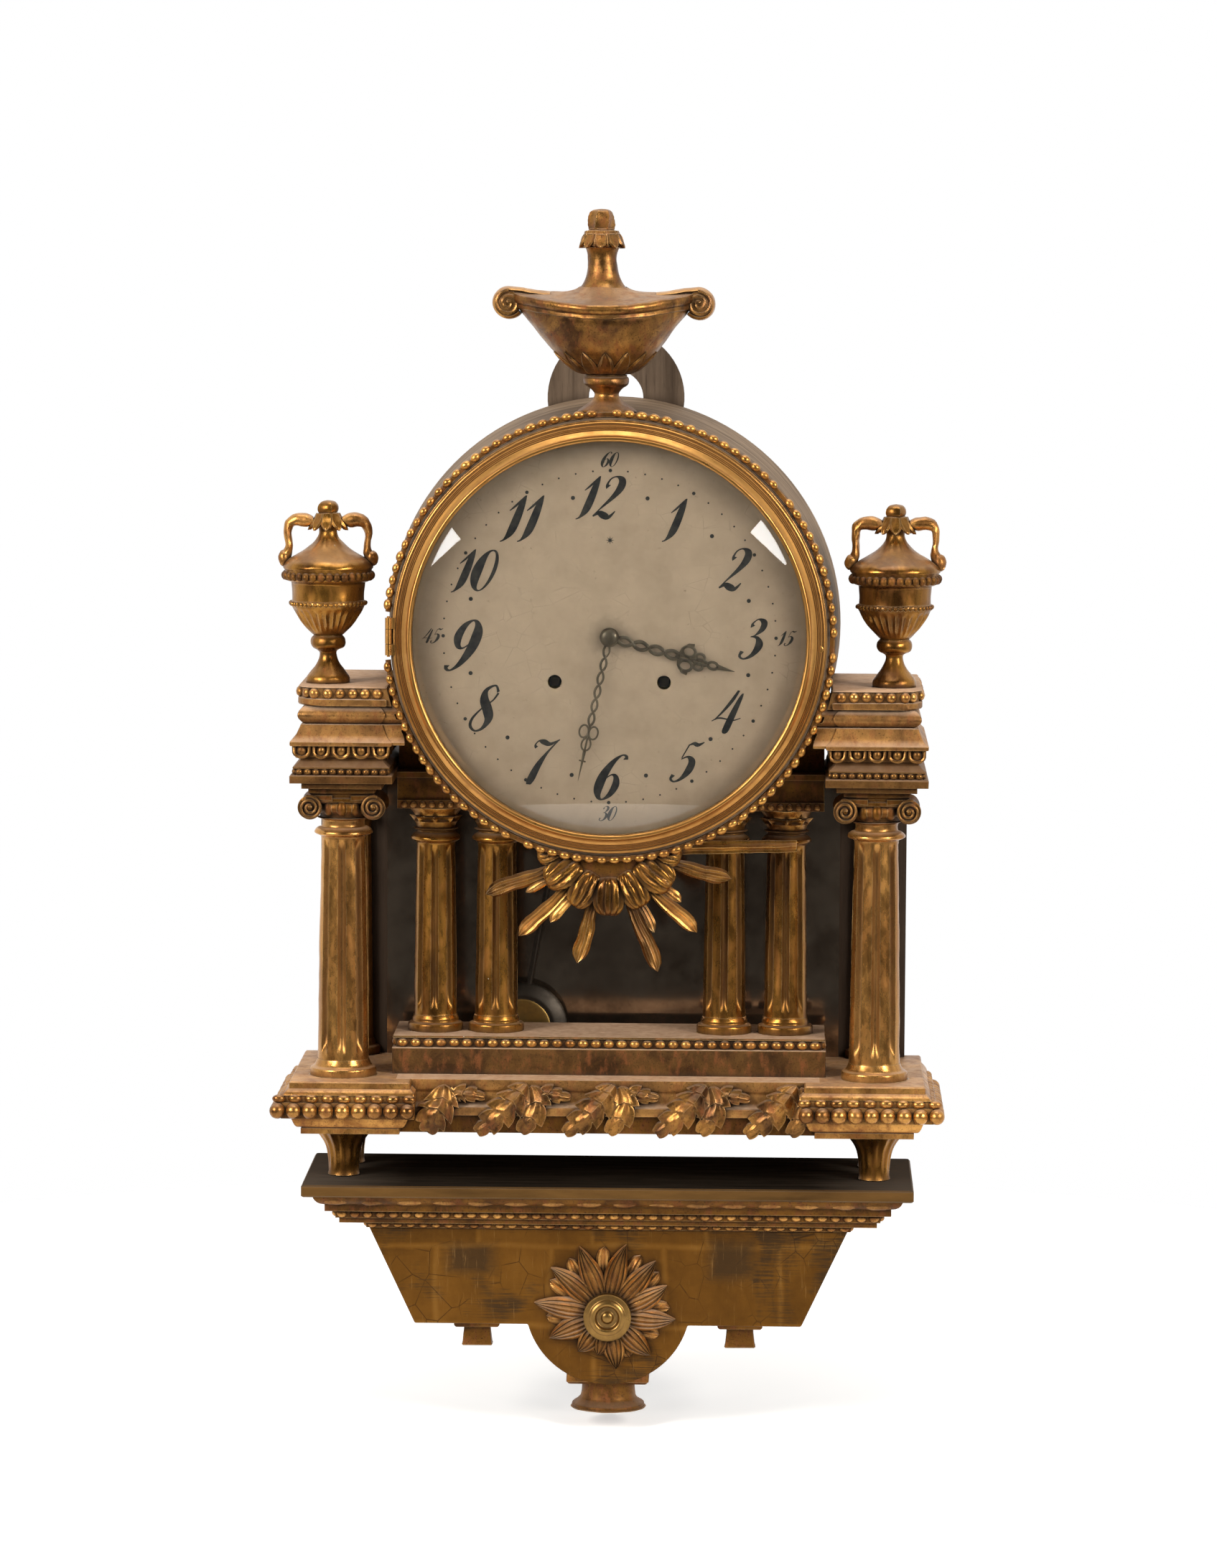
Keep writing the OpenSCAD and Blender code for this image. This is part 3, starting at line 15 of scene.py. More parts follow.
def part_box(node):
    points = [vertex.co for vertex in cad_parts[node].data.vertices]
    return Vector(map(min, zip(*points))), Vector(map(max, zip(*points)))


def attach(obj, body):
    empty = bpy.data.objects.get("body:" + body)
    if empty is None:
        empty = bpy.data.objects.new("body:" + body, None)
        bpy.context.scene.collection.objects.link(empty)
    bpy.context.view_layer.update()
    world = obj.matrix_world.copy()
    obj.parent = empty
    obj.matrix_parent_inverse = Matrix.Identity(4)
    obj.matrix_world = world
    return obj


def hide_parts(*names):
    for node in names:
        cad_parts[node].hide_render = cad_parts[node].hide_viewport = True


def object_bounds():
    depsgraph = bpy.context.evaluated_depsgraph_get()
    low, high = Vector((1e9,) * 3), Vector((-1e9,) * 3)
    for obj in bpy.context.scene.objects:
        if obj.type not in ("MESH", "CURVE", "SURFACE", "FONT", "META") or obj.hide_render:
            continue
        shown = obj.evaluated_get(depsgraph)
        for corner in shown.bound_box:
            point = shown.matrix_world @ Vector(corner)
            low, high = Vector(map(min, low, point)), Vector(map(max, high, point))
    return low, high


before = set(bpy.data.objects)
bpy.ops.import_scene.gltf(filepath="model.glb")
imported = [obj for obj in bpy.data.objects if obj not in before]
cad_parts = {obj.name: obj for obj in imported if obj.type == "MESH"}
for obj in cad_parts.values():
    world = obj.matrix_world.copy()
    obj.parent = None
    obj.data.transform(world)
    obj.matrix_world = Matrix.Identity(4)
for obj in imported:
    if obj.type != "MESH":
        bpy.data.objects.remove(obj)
cad_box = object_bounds()
SEED = 7
random.seed(SEED)
noise.seed_set(SEED)
MM = 0.001
SIDES = (-1, 1)


class Span:
    """The box of a CAD node in millimetres, with depths counted from the wall."""

    def __init__(self, node):
        low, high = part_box(node)
        self.x0, self.x1 = low.x / MM, high.x / MM
        self.back, self.front = -high.y / MM, -low.y / MM
        self.z0, self.z1 = low.z / MM, high.z / MM


def spline(points, steps=5):
    """A smooth line through points of any dimension; a point given twice makes a corner."""
    last = len(points) - 1
    found = []
    for i in range(last):
        near = [points[min(max(k, 0), last)] for k in range(i - 1, i + 3)]
        for t in (s / steps for s in range(steps)):
            w = (-t + 2 * t**2 - t**3, 2 - 5 * t**2 + 3 * t**3, t + 4 * t**2 - 3 * t**3, t**3 - t**2)
            found.append(tuple(0.5 * sum(k * p[n] for k, p in zip(w, near)) for n in range(len(near[1]))))
    return found + [tuple(points[-1])]


def arc(x, y, r, start, stop, steps):
    """Points on a circle from one turn to another, in degrees."""
    angles = [radians(start + (stop - start) * i / steps) for i in range(steps + 1)]
    return [(x + r * cos(t), y + r * sin(t)) for t in angles]


def turns(count):
    """Equal steps round a circle."""
    return [tau * k / count for k in range(count)]


def shares(count):
    """Equal steps from 0 to 1."""
    return [k / count for k in range(count + 1)]


def between(z1, high, z0, low):
    """A profile from the top down: pairs measured down from one height, then up from another."""
    return [(r, z1 - h) for r, h in high] + [(r, z0 + h) for r, h in low]


def clamp(value):
    return min(max(value, 0), 1)


class Shape:
    """The points and faces of one piece. Its building methods return it."""

    def __init__(self):
        self.points, self.faces = [], []

    def grid(self, rows, caps=False, around=True):
        """A skin over rows of points. around closes each row, and caps close the first and last."""
        start, count, total = len(self.points), len(rows[0]), len(rows)
        self.points += [tuple(p) for row in rows for p in row]
        for i in range(total - 1):
            for j in range(count if around else count - 1):
                here, k = start + i * count, (j + 1) % count
                self.faces.append((here + j, here + k, here + count + k, here + count + j))
        if caps:
            self.faces += [tuple(range(a, a + count)) for a in (start, start + (total - 1) * count)]
        return self

    def lathe(self, profile, at, segments=48, carve=None, upright=True, sweep=(0, 360)):
        """A turned form. The profile is radius and height, or depth where the axis is square to the wall."""
        x, d, z = at
        whole = sweep[1] - sweep[0] >= 360
        angles = [radians(sweep[0] + (sweep[1] - sweep[0]) * j / segments)
                  for j in range(segments if whole else segments + 1)]
        rows = []
        for r, h in profile:
            ring = [(carve(t, r, h) if carve else r, t) for t in angles]
            flat = [(q * cos(t), q * sin(t)) for q, t in ring]
            rows.append([(x + u, d + v, z + h) if upright else (x + u, d + h, z + v) for u, v in flat])
        return self.grid(rows, around=whole)

    def stack(self, plan, profile):
        """Mouldings on a plan outline. The profile is side setback, front setback and height."""
        return self.grid([[(x, d, z) for x, d in plan(side, front)] for side, front, z in profile], caps=True)

    def block(self, x0, x1, back, front, z0, z1, corner=0.1):
        return self.stack(box_plan(x0, x1, back, front, corner), [(0, 0, z0), (0, 0, z1)])

    def disc(self, profile, at, segments=48):
        """A turned form with its axis square to the wall. The profile is radius and depth."""
        return self.lathe(profile, at, segments, upright=False)

    def ball(self, at, rx, rd, rz, segments=12, rings=7):
        x, d, z = at
        return self.grid([[(x + rx * sin(tilt) * cos(t), d + rd * sin(tilt) * sin(t), z + rz * cos(tilt))
                           for t in turns(segments)] for tilt in (pi * i / rings for i in range(rings + 1))])

    def sheet(self, outline, back, front):
        """A flat shape parallel to the wall, its outline in X and Z."""
        return self.grid([[(x, d, z) for x, z in outline] for d in (back, front)], caps=True)

    def tube(self, path, sides, half):
        """An oval bar along a path; half(i) gives its half-sizes there, across and out from the wall."""
        rows = []
        for i, p in enumerate(path):
            a, b = Vector(path[max(i - 1, 0)]), Vector(path[min(i + 1, len(path) - 1)])
            run = (b - a).normalized()
            out = Vector((0, 1, 0)) - run * run.y
            out = (out if out.length > 0.2 else Vector((0, 0, 1)) - run * run.z).normalized()
            across = run.cross(out)
            wide, high = half(i)
            rows.append([Vector(p) + across * (wide * cos(t)) + out * (high * sin(t)) for t in turns(sides)])
        return self.grid(rows, caps=True)

    def leaf(self, line, half, rise, ribs=3, lobes=0, sweep=0, sink=3, across=13):
        """A carved leaf along a line from its root: half-width and rise at each share of its length."""
        rows = []
        for i, (x, d, z) in enumerate(line):
            t = i / (len(line) - 1)
            a, b = line[max(i - 1, 0)], line[min(i + 1, len(line) - 1)]
            run = math.hypot(b[0] - a[0], b[2] - a[2])
            c, s = (b[0] - a[0]) / run, (b[2] - a[2]) / run
            notch = 0.54 + 0.46 * (lobes * t % 1) ** 0.5 if lobes else 1
            wide, high = half(t) * notch, rise(t)
            top = []
            for u in (2 * j / (across - 1) - 1 for j in range(across)):
                ridge = 0.62 * (1 - 0.8 * u * u) + 0.38 * (0.5 + 0.5 * cos(pi * ribs * u))
                along, side = sweep * abs(u) * wide, u * wide
                top.append((x + c * along - s * side, d + high * ridge, z + s * along + c * side))
            rows.append(top + [(p, d - sink, q) for p, _, q in reversed(top)])
        return self.grid(rows, caps=True)

    def move(self, rule):
        """Sends each point so far where rule(x, d, z) says."""
        self.points = [rule(*p) for p in self.points]
        return self

    def piece(self, name, look, slot="gilt_wood", stands_for=(), body="case", wobble=0, bevel=0,
              angle=38):
        """The finished object: its mesh, finish, body and the CAD nodes that it stands for."""
        mesh = bpy.data.meshes.new(name)
        mesh.from_pydata([(x * MM, -d * MM, z * MM) for x, d, z in self.points], [], self.faces)
        made = bmesh.new()
        made.from_mesh(mesh)
        bmesh.ops.remove_doubles(made, verts=made.verts, dist=WELD)
        bmesh.ops.dissolve_degenerate(made, edges=made.edges, dist=WELD)
        bmesh.ops.recalc_face_normals(made, faces=made.faces)
        if wobble:
            for v in made.verts:
                rough = noise.noise_vector(v.co * COARSE) + 0.5 * noise.noise_vector(v.co * FINE)
                v.co += rough * wobble * MM
        made.to_mesh(mesh)
        made.free()
        mesh.polygons.foreach_set("use_smooth", [True] * len(mesh.polygons))
        mesh.set_sharp_from_angle(angle=radians(angle))
        mesh.materials.append(look)
        obj = bpy.data.objects.new(name, mesh)
        bpy.context.scene.collection.objects.link(obj)
        if bevel:
            cut = obj.modifiers.new("edges", "BEVEL")
            cut.width, cut.segments, cut.angle_limit = bevel * MM, 2, radians(BEVEL_ANGLE)
            cut.harden_normals = True
        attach(obj, body)
        if stands_for:
            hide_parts(*stands_for)


# Points closer than this, in metres, are one point
WELD = 2e-6
# Waves of the hand-cut wobble to a metre, and the least turn of an edge that is bevelled, in degrees
COARSE, FINE, BEVEL_ANGLE = 90, 260, 40


def box_plan(x0, x1, back, front, corner=1.2, back_moves=False):
    """A plan outline with rounded corners, drawn in at its sides and front by the given setbacks."""
    def plan(side, inset):
        low, high, near, far = x0 + side, x1 - side, front - inset, back + (side if back_moves else 0)
        found = []
        for x, d, turn in ((low, far, 180), (high, far, 270), (high, near, 0), (low, near, 90)):
            cx = x + corner if x == low else x - corner
            cd = d + corner if d == far else d - corner
            found += arc(cx, cd, corner, turn, turn + 90, 3)
        return found
    return plan


# How much smaller than its neighbours a worn bead may be
BEAD_WEAR = 0.06


def bead_line(shape, start, stop, pitch, size):
    """Beads from one point to another; size is the half-width along X, D and Z."""
    a, b = Vector(start), Vector(stop)
    count = max(2, round((b - a).length / pitch))
    for i in range(count):
        worn = 1 - BEAD_WEAR * random.random()
        shape.ball(a.lerp(b, (i + 0.5) / count), *(k * worn for k in size), 10, 6)


def bead_sides(shape, x0, x1, back, front, z, pitch, r, squash=1):
    """Beads along the front, the left side and the right side of a block."""
    bead_line(shape, (x0, front, z), (x1, front, z), pitch, (r * squash, r, r))
    for x in (x0, x1):
        bead_line(shape, (x, back, z), (x, front, z), pitch, (r, r * squash, r))


class Paint:
    """A node material, built a node at a time on object coordinates in metres."""

    def __init__(self, name):
        self.look = bpy.data.materials.new(name)
        self.look.use_nodes = True
        self.tree = self.look.node_tree
        self.shader = self.tree.nodes["Principled BSDF"]
        self.place = self.node("ShaderNodeTexCoord").outputs["Object"]
        self.colour = None

    def node(self, kind, inputs=None, **settings):
        made = self.tree.nodes.new(kind)
        for key, value in settings.items():
            setattr(made, key, value)
        for key, value in (inputs or {}).items():
            self.feed(made.inputs[key], value)
        return made

    def feed(self, socket, value):
        """Links an output to the socket, or sets the socket to a constant."""
        if isinstance(value, bpy.types.NodeSocket):
            self.tree.links.new(value, socket)
        elif isinstance(value, tuple) and len(value) == 3 and socket.type == "RGBA":
            socket.default_value = (*value, 1)
        else:
            socket.default_value = value

    def stretched(self, scale, turn=(0, 0, 0)):
        """The place, scaled along each axis, for streaks and grain."""
        change = {"Vector": self.place, "Scale": scale, "Rotation": turn}
        return self.node("ShaderNodeMapping", change).outputs[0]

    def noise(self, scale, detail, rough, at=None, distortion=0):
        return self.node("ShaderNodeTexNoise", {
            "Vector": at or self.place, "Scale": scale, "Detail": detail, "Roughness": rough,
            "Distortion": distortion}).outputs["Fac"]

    def cracks(self, scale, stretch, dark, width):
        """A net of fine lines: dark on each line, and 0 from width away."""
        net = self.node("ShaderNodeTexVoronoi", {"Vector": self.stretched((1, 1, stretch)), "Scale": scale},
                        feature="DISTANCE_TO_EDGE").outputs["Distance"]
        return self.ramp(net, (0, dark), (width, 0))

    def ramp(self, value, *stops):
        """A ramp over a value; each stop is a place and a grey value or a colour."""
        made = self.node("ShaderNodeValToRGB", {"Fac": value})
        line = made.color_ramp.elements
        while len(line) < len(stops):
            line.new(0.5)
        for mark, (place, shade) in zip(line, stops):
            mark.position = place
            mark.color = (*shade, 1) if isinstance(shade, tuple) else (shade, shade, shade, 1)
        return made.outputs["Color"]

    def mix(self, share, a, b):
        return self.node("ShaderNodeMix", {0: share, 6: a, 7: b}, data_type="RGBA").outputs[2]

    def over(self, share, colour):
        """Lays a share of another colour over the colour so far."""
        self.colour = self.mix(share, self.colour, colour)

    def math(self, kind, a, b=0):
        return self.node("ShaderNodeMath", {0: a, 1: b}, operation=kind).outputs[0]

    def times(self, a, b):
        return self.math("MULTIPLY", a, b)

    def plus(self, a, b):
        return self.math("ADD", a, b)

    def rest(self, a):
        """What a share leaves of 1."""
        return self.math("SUBTRACT", 1, a)

    def axis(self, name, vector=None):
        """One coordinate of the place or of another vector."""
        return self.node("ShaderNodeSeparateXYZ", {"Vector": vector or self.place}).outputs[name]

    def normal(self):
        return self.node("ShaderNodeNewGeometry").outputs["Normal"]

    def hollows(self, reach):
        """1 in corners and recesses within reach, in millimetres, and 0 on open faces."""
        seen = self.node("ShaderNodeAmbientOcclusion", {"Distance": reach * MM}, samples=6).outputs["AO"]
        return self.ramp(seen, (0.4, 1), (0.88, 0))

    def edges(self, reach):
        """1 on sharp edges within reach, in millimetres, and 0 on plain faces."""
        soft = self.node("ShaderNodeBevel", {"Radius": reach * MM}, samples=4).outputs["Normal"]
        agree = self.node("ShaderNodeVectorMath", {0: soft, 1: self.normal()}, operation="DOT_PRODUCT")
        return self.ramp(agree.outputs["Value"], (0.82, 1), (0.98, 0))

    def facing_up(self):
        return self.ramp(self.axis("Z", self.normal()), (0.55, 0), (0.95, 1))

    def finish(self, rough, metal, relief, depth, constants=None):
        """Sets the shader; relief is a height for bump and depth its size in millimetres."""
        bump = self.node("ShaderNodeBump", {"Height": relief, "Distance": depth * MM, "Strength": 0.7})
        for key, value in (("Base Color", self.colour), ("Roughness", rough), ("Metallic", metal),
                           ("Normal", bump.outputs["Normal"]), *(constants or {}).items()):
            self.feed(self.shader.inputs[key], value)
        return self.look


BOLE = (0.2, 0.068, 0.022)
# Soot brown: real grime and specks, and also painted shade in hollows and on the back boards
SOOT_AND_SHADE = (0.02, 0.011, 0.006)
# A dark brown laid as painted shade under the blocks' cornice
SHADE_BROWN = (0.072, 0.03, 0.008)
DUST = (0.56, 0.378, 0.252)
GESSO = (0.52, 0.45, 0.36)
# A pale gold on sharp edges: rubbed wear and painted highlight
WORN_EDGE_AND_HIGHLIGHT = (0.6, 0.4, 0.185)
# The level of noise over which the gilding is chipped off
CHIPS = 0.745


def gilt(name, gold, brown, patina=0.5, dust=0.6, metal=0.92, shine=0.24, reach=5, rim=0.55, bumps=0.35,
         drawn=1, shade=None):
    """Old water gilding: leaf rubbed through to the bole, grime and painted shade in hollows, edges paled by
    wear and painted highlight, dust and gesso chips.

    Clouds of wear are drawn out upright by drawn. shade is two heights in millimetres and how dark the
    painted shade is under the first.
    """
    p = Paint(name)
    clouds = p.noise(38, 7, 0.62, p.stretched((1, 1, drawn)), 0.6)
    rubs = p.noise(170, 6, 0.65, p.stretched((1, 1, 0.42)))
    grains = p.noise(900, 3, 0.6)
    p.colour = p.mix(p.ramp(clouds, (0.38, 0), (0.6, 1)), brown, gold)
    worn = p.ramp(rubs, (0.5, 0), (0.64, patina))
    p.over(worn, BOLE)
    p.over(p.ramp(grains, (0.56, 0), (0.7, patina)), SOOT_AND_SHADE)
    hollow = p.hollows(reach)
    # Painted highlight and wear: sharp edges outside the hollows are paled, by rim
    p.over(p.times(p.times(p.edges(0.8), rim), p.rest(hollow)), WORN_EDGE_AND_HIGHLIGHT)
    # Painted shade and grime: hollows within reach darken, and lose metal
    recess_shade_and_dirt = p.times(hollow, 0.94)
    p.over(recess_shade_and_dirt, SOOT_AND_SHADE)
    settled = p.times(p.times(p.facing_up(), dust), p.ramp(rubs, (0.3, 1), (0.75, 0.45)))
    p.over(settled, DUST)
    lost = p.ramp(p.noise(120, 4, 0.7), (CHIPS, 0), (CHIPS + 0.015, 1))
    p.over(lost, GESSO)
    # Painted shade: darker below a given height
    if shade:
        low, high, dark = shade
        p.over(p.ramp(p.axis("Z"), (low * MM, dark), (high * MM, 0)), SHADE_BROWN)
    cover = p.plus(p.plus(recess_shade_and_dirt, settled), p.plus(lost, p.times(worn, 0.3)))
    shown = p.math("MAXIMUM", p.rest(cover), 0)
    rough = p.plus(p.ramp(rubs, (0.3, shine), (0.7, shine + 0.2)), p.times(cover, 0.3))
    relief = p.plus(p.times(rubs, 0.8), p.times(grains, 0.25))
    return p.finish(rough, p.times(shown, metal), relief, bumps, {"Specular IOR Level": 0.2})


# Middle and half-size of the two square bruises on the bracket's panel, in X and Z
BRUISES = ((-91, -3, 18, 11), (81, -2, 18, 15))


def leaf_panel(name):
    """Flat gilding laid in squares: lap bands, thin leaf over brown ground, scratches, cracks and bruises."""
    p = Paint(name)
    drift = p.noise(9, 3, 0.5)
    sway = p.node("ShaderNodeCombineXYZ", {"X": p.times(drift, 0.02), "Y": p.times(drift, 0.012)}).outputs[0]
    upright = p.stretched((1, 1, 1), (radians(90), 0, 0))
    bent = p.node("ShaderNodeVectorMath", {0: upright, 1: sway}, operation="ADD")
    laps = p.node("ShaderNodeTexBrick", {
        "Vector": bent.outputs["Vector"], "Scale": 1, "Mortar Size": 0.0032, "Mortar Smooth": 1,
        "Brick Width": 0.075, "Row Height": 0.052, "Bias": 0, "Color1": (0.3, 0.3, 0.3),
        "Color2": (0.56, 0.56, 0.56), "Mortar": (0.7, 0.7, 0.7)}, offset=0.37, squash=1)
    clouds = p.noise(22, 8, 0.62)
    scratches = p.noise(60, 5, 0.7, p.stretched((9, 9, 0.7)))
    hair = p.noise(70, 5, 0.75, p.stretched((0.5, 0.5, 12)))
    tone = p.plus(p.times(laps.outputs["Color"], 0.45), p.times(clouds, 0.55))
    p.colour = p.ramp(tone, (0.3, (0.08, 0.034, 0.007)), (0.5, (0.168, 0.072, 0.012)),
                      (0.72, (0.25, 0.118, 0.024)))
    blots = p.times(p.noise(14, 4, 0.55, distortion=0.8), p.ramp(hair, (0.3, 0.75), (0.6, 1)))
    bruise = p.ramp(blots, (0.46, 0), (0.57, 0.85))
    for x, z, wide, high in BRUISES:
        off = [p.times(p.math("ABSOLUTE", p.math("SUBTRACT", p.axis(axis), at * MM)), 1 / (size * MM))
               for axis, at, size in (("X", x, wide), ("Z", z, high))]
        ragged = p.plus(p.math("MAXIMUM", *off), p.plus(clouds, p.times(hair, 0.6)))
        bruise = p.math("MAXIMUM", bruise, p.ramp(p.times(ragged, 0.5), (0.66, 0.8), (0.98, 0)))
    p.over(bruise, (0.026, 0.015, 0.006))
    cracks = p.times(p.cracks(62, 0.8, 0.8, 0.022), p.ramp(clouds, (0.48, 0), (0.58, 1)))
    p.over(cracks, SOOT_AND_SHADE)
    p.over(p.ramp(scratches, (0.6, 0), (0.75, 0.35)), (0.4, 0.22, 0.07))
    # Painted shade and grime: hollows darken and lose metal
    recess_shade_and_dirt = p.hollows(9)
    p.over(p.times(recess_shade_and_dirt, 0.9), SOOT_AND_SHADE)
    metal = p.times(p.rest(p.math("MAXIMUM", recess_shade_and_dirt, bruise)), 0.78)
    relief = p.plus(p.times(clouds, 0.6), p.times(hair, 0.35))
    return p.finish(p.ramp(scratches, (0.3, 0.36), (0.75, 0.56)), metal, relief, 0.3,
                    {"Specular IOR Level": 0.1})


def shelf_paint(name):
    """A board blackened on top, dusty at its ends, its edges in thin dark gilding, paler at their arrises as
    painted highlight.
    """
    p = Paint(name)
    clouds = p.noise(18, 7, 0.62, p.stretched((0.35, 2, 2)))
    streaks = p.noise(60, 6, 0.7, p.stretched((0.3, 3, 6)))
    black = p.ramp(streaks, (0.35, (0.008, 0.006, 0.0042)), (0.75, (0.024, 0.018, 0.013)))
    ends = p.plus(p.math("ABSOLUTE", p.axis("X")), p.times(streaks, 0.04))
    black = p.mix(p.ramp(ends, (0.15, 0), (0.21, 0.9)), black, (0.07, 0.056, 0.044))
    side = p.ramp(clouds, (0.35, (0.06, 0.032, 0.012)), (0.7, (0.19, 0.098, 0.03)))
    # Painted highlight: a paler line on the sharp edges of the sides
    side = p.mix(p.edges(0.9), side, (0.2, 0.15, 0.1))
    top = p.facing_up()
    rough = p.mix(top, p.ramp(streaks, (0.3, 0.4), (0.7, 0.55)), p.ramp(streaks, (0.3, 0.34), (0.7, 0.5)))
    gilding = p.mix(top, (0.6, 0.6, 0.6), (0, 0, 0))
    p.colour = p.mix(top, side, black)
    return p.finish(rough, gilding, streaks, 0.2, {"Specular IOR Level": 0})


def wood(name, pale, dark, grain, painted_shade_low=0):
    """Old softwood: grain drawn out along some axes, pores, grime, painted shade and grime in hollows, and
    painted shade on its front below the drum.
    """
    p = Paint(name)
    lines = p.noise(34, 9, 0.66, p.stretched(grain), 0.5)
    pores = p.noise(230, 4, 0.7, p.stretched(tuple(k / 2 for k in grain)))
    p.colour = p.ramp(lines, (0.3, dark), (0.7, pale))
    p.over(p.ramp(pores, (0.56, 0), (0.7, 0.6)), tuple(k * 0.45 for k in dark))
    p.over(p.ramp(p.noise(16, 5, 0.6), (0.45, 0), (0.7, 0.35)), SOOT_AND_SHADE)
    # Painted shade and grime in hollows
    p.over(p.times(p.hollows(8), 0.8), SOOT_AND_SHADE)
    # Painted shade: faces toward the front darken below a height
    front = p.ramp(p.times(p.axis("Y", p.normal()), -1), (0.3, 0), (0.7, 1))
    p.over(p.times(p.ramp(p.axis("Z"), (0.4, painted_shade_low), (0.52, 0)), front), SOOT_AND_SHADE)
    relief = p.plus(lines, p.times(pores, 0.6))
    return p.finish(p.ramp(lines, (0.3, 0.74), (0.7, 0.62)), 0, relief, 0.35,
                    {"Specular IOR Level": 0.15})


def metal(name, bright, dull, shine=0.25, tarnish=0.4, reach=2.5):
    """Plain worked metal with fine grain, spots of tarnish, and grime and painted shade in its corners."""
    p = Paint(name)
    blots = p.noise(60, 7, 0.65)
    p.colour = p.mix(p.ramp(blots, (0.42, 0), (0.68, tarnish)), bright, dull)
    # Painted shade and grime: corners darken and lose metal
    recess_shade_and_dirt = p.hollows(reach)
    p.over(p.times(recess_shade_and_dirt, 0.75), SOOT_AND_SHADE)
    rough = p.plus(p.ramp(blots, (0.3, shine), (0.72, shine + 0.2)), p.times(recess_shade_and_dirt, 0.3))
    return p.finish(rough, p.rest(p.times(recess_shade_and_dirt, 0.6)), p.noise(500, 3, 0.6), 0.06)


def dial_paint(name):
    """Aged dial paint: warm grey, mottled, with fine cracks, darker round the hands, and painted shade toward
    the rim.
    """
    p = Paint(name)
    mottle = p.noise(34, 9, 0.68)
    specks = p.noise(420, 4, 0.7)
    p.colour = p.ramp(mottle, (0.3, (0.485, 0.362, 0.252)), (0.7, (0.6, 0.455, 0.322)))
    cracks = p.times(p.cracks(70, 1.3, 0.35, 0.02), p.ramp(mottle, (0.5, 0), (0.62, 1)))
    p.over(cracks, (0.16, 0.115, 0.075))
    p.over(p.ramp(specks, (0.66, 0), (0.74, 0.5)), (0.14, 0.095, 0.06))
    centre = (0, -DIAL_FRONT * MM, DRUM_Z * MM)
    middle = p.node("ShaderNodeVectorMath", {0: p.place, 1: centre}, operation="DISTANCE")
    out = p.times(middle.outputs["Value"], 1 / (DIAL_R * MM))
    # Painted shade: darker toward the rim, under the bezel and the dome
    rim = p.ramp(out, (0.86, 0), (1, 0.34))
    darker_round_hands = p.ramp(p.plus(out, p.times(mottle, 0.16)), (0.11, 0.45), (0.2, 0))
    p.over(p.math("MAXIMUM", rim, darker_round_hands), (0.1, 0.075, 0.05))
    return p.finish(p.ramp(mottle, (0.3, 0.6), (0.7, 0.48)), 0, p.plus(mottle, specks), 0.08)


def ink(name):
    """Black dial ink worn thin in places."""
    p = Paint(name)
    thin = p.noise(190, 6, 0.65)
    p.colour = p.ramp(thin, (0.4, (0.012, 0.012, 0.013)), (0.72, (0.055, 0.048, 0.042)))
    return p.finish(p.ramp(thin, (0.4, 0.42), (0.7, 0.6)), 0, thin, 0.04)


def clear_glass(name):
    """Old domed glass, faintly wavy and dusty."""
    p = Paint(name)
    film = p.noise(55, 6, 0.6)
    p.colour = p.ramp(film, (0.4, (0.96, 0.98, 0.97)), (0.8, (0.9, 0.92, 0.9)))
    return p.finish(p.ramp(film, (0.45, 0.01), (0.8, 0.03)), 0, p.noise(18, 3, 0.5), 0.008,
                    {"Transmission Weight": 1, "IOR": 1.45})


def old_mirror(name):
    """Dark silvering behind old glass: a dim brown mirror, foxed and dusty."""
    p = Paint(name)
    fox = p.noise(30, 7, 0.65)
    film = p.noise(9, 4, 0.55)
    p.colour = p.ramp(fox, (0.4, (0.4, 0.31, 0.225)), (0.66, (0.15, 0.11, 0.078)))
    p.over(p.ramp(film, (0.45, 0), (0.75, 0.4)), (0.19, 0.15, 0.112))
    return p.finish(p.ramp(fox, (0.35, 0.06), (0.7, 0.2)), 0.96, film, 0.02)


dial, blocks = Span("dial_plate"), Span("entablature_blocks")
DRUM_Z, DIAL_R, DIAL_FRONT = (dial.z0 + dial.z1) / 2, (dial.x1 - dial.x0) / 2, dial.front
# Painted shade: the blocks are darker below their cornice
BLOCK_SHADE = (blocks.z0 + 24, blocks.z0 + 31, 0.62)

CARVED = dict(gold=(0.64, 0.325, 0.088), brown=(0.25, 0.105, 0.028), patina=0.6)
DULLED = dict(gold=(0.42, 0.21, 0.062), brown=(0.17, 0.08, 0.028), patina=0.6, dust=0.95, metal=0.75,
              shine=0.34)
TURNED = dict(reach=7, drawn=0.16)
GILT = gilt("gilt_carving", **CARVED)
TRIM = gilt("gilt_trim", **CARVED, shade=BLOCK_SHADE)
DULL = gilt("gilt_dull", **DULLED)
BLOCK = gilt("gilt_block", **DULLED, shade=BLOCK_SHADE)
COLUMN = gilt("gilt_column", (0.64, 0.33, 0.092), (0.33, 0.15, 0.04), 0.25, 0.5, shine=0.17, rim=0.9,
              bumps=0.06, **TURNED)
DEEP = gilt("gilt_deep", (0.36, 0.168, 0.032), (0.12, 0.05, 0.013), 0.32, 0.4, shine=0.2, rim=0.8,
            bumps=0.08, **TURNED)
LAMP = gilt("gilt_lamp", (0.36, 0.172, 0.043), (0.09, 0.042, 0.018), 0.75, 0.5, shine=0.26)
PEARL = gilt("gilt_pearl", (0.54, 0.27, 0.072), (0.19, 0.082, 0.024), 0.55, shine=0.2, reach=1.8)
BRIGHT = gilt("gilt_bright", (0.64, 0.325, 0.078), (0.36, 0.16, 0.038), 0.3, 0.45, shine=0.22)
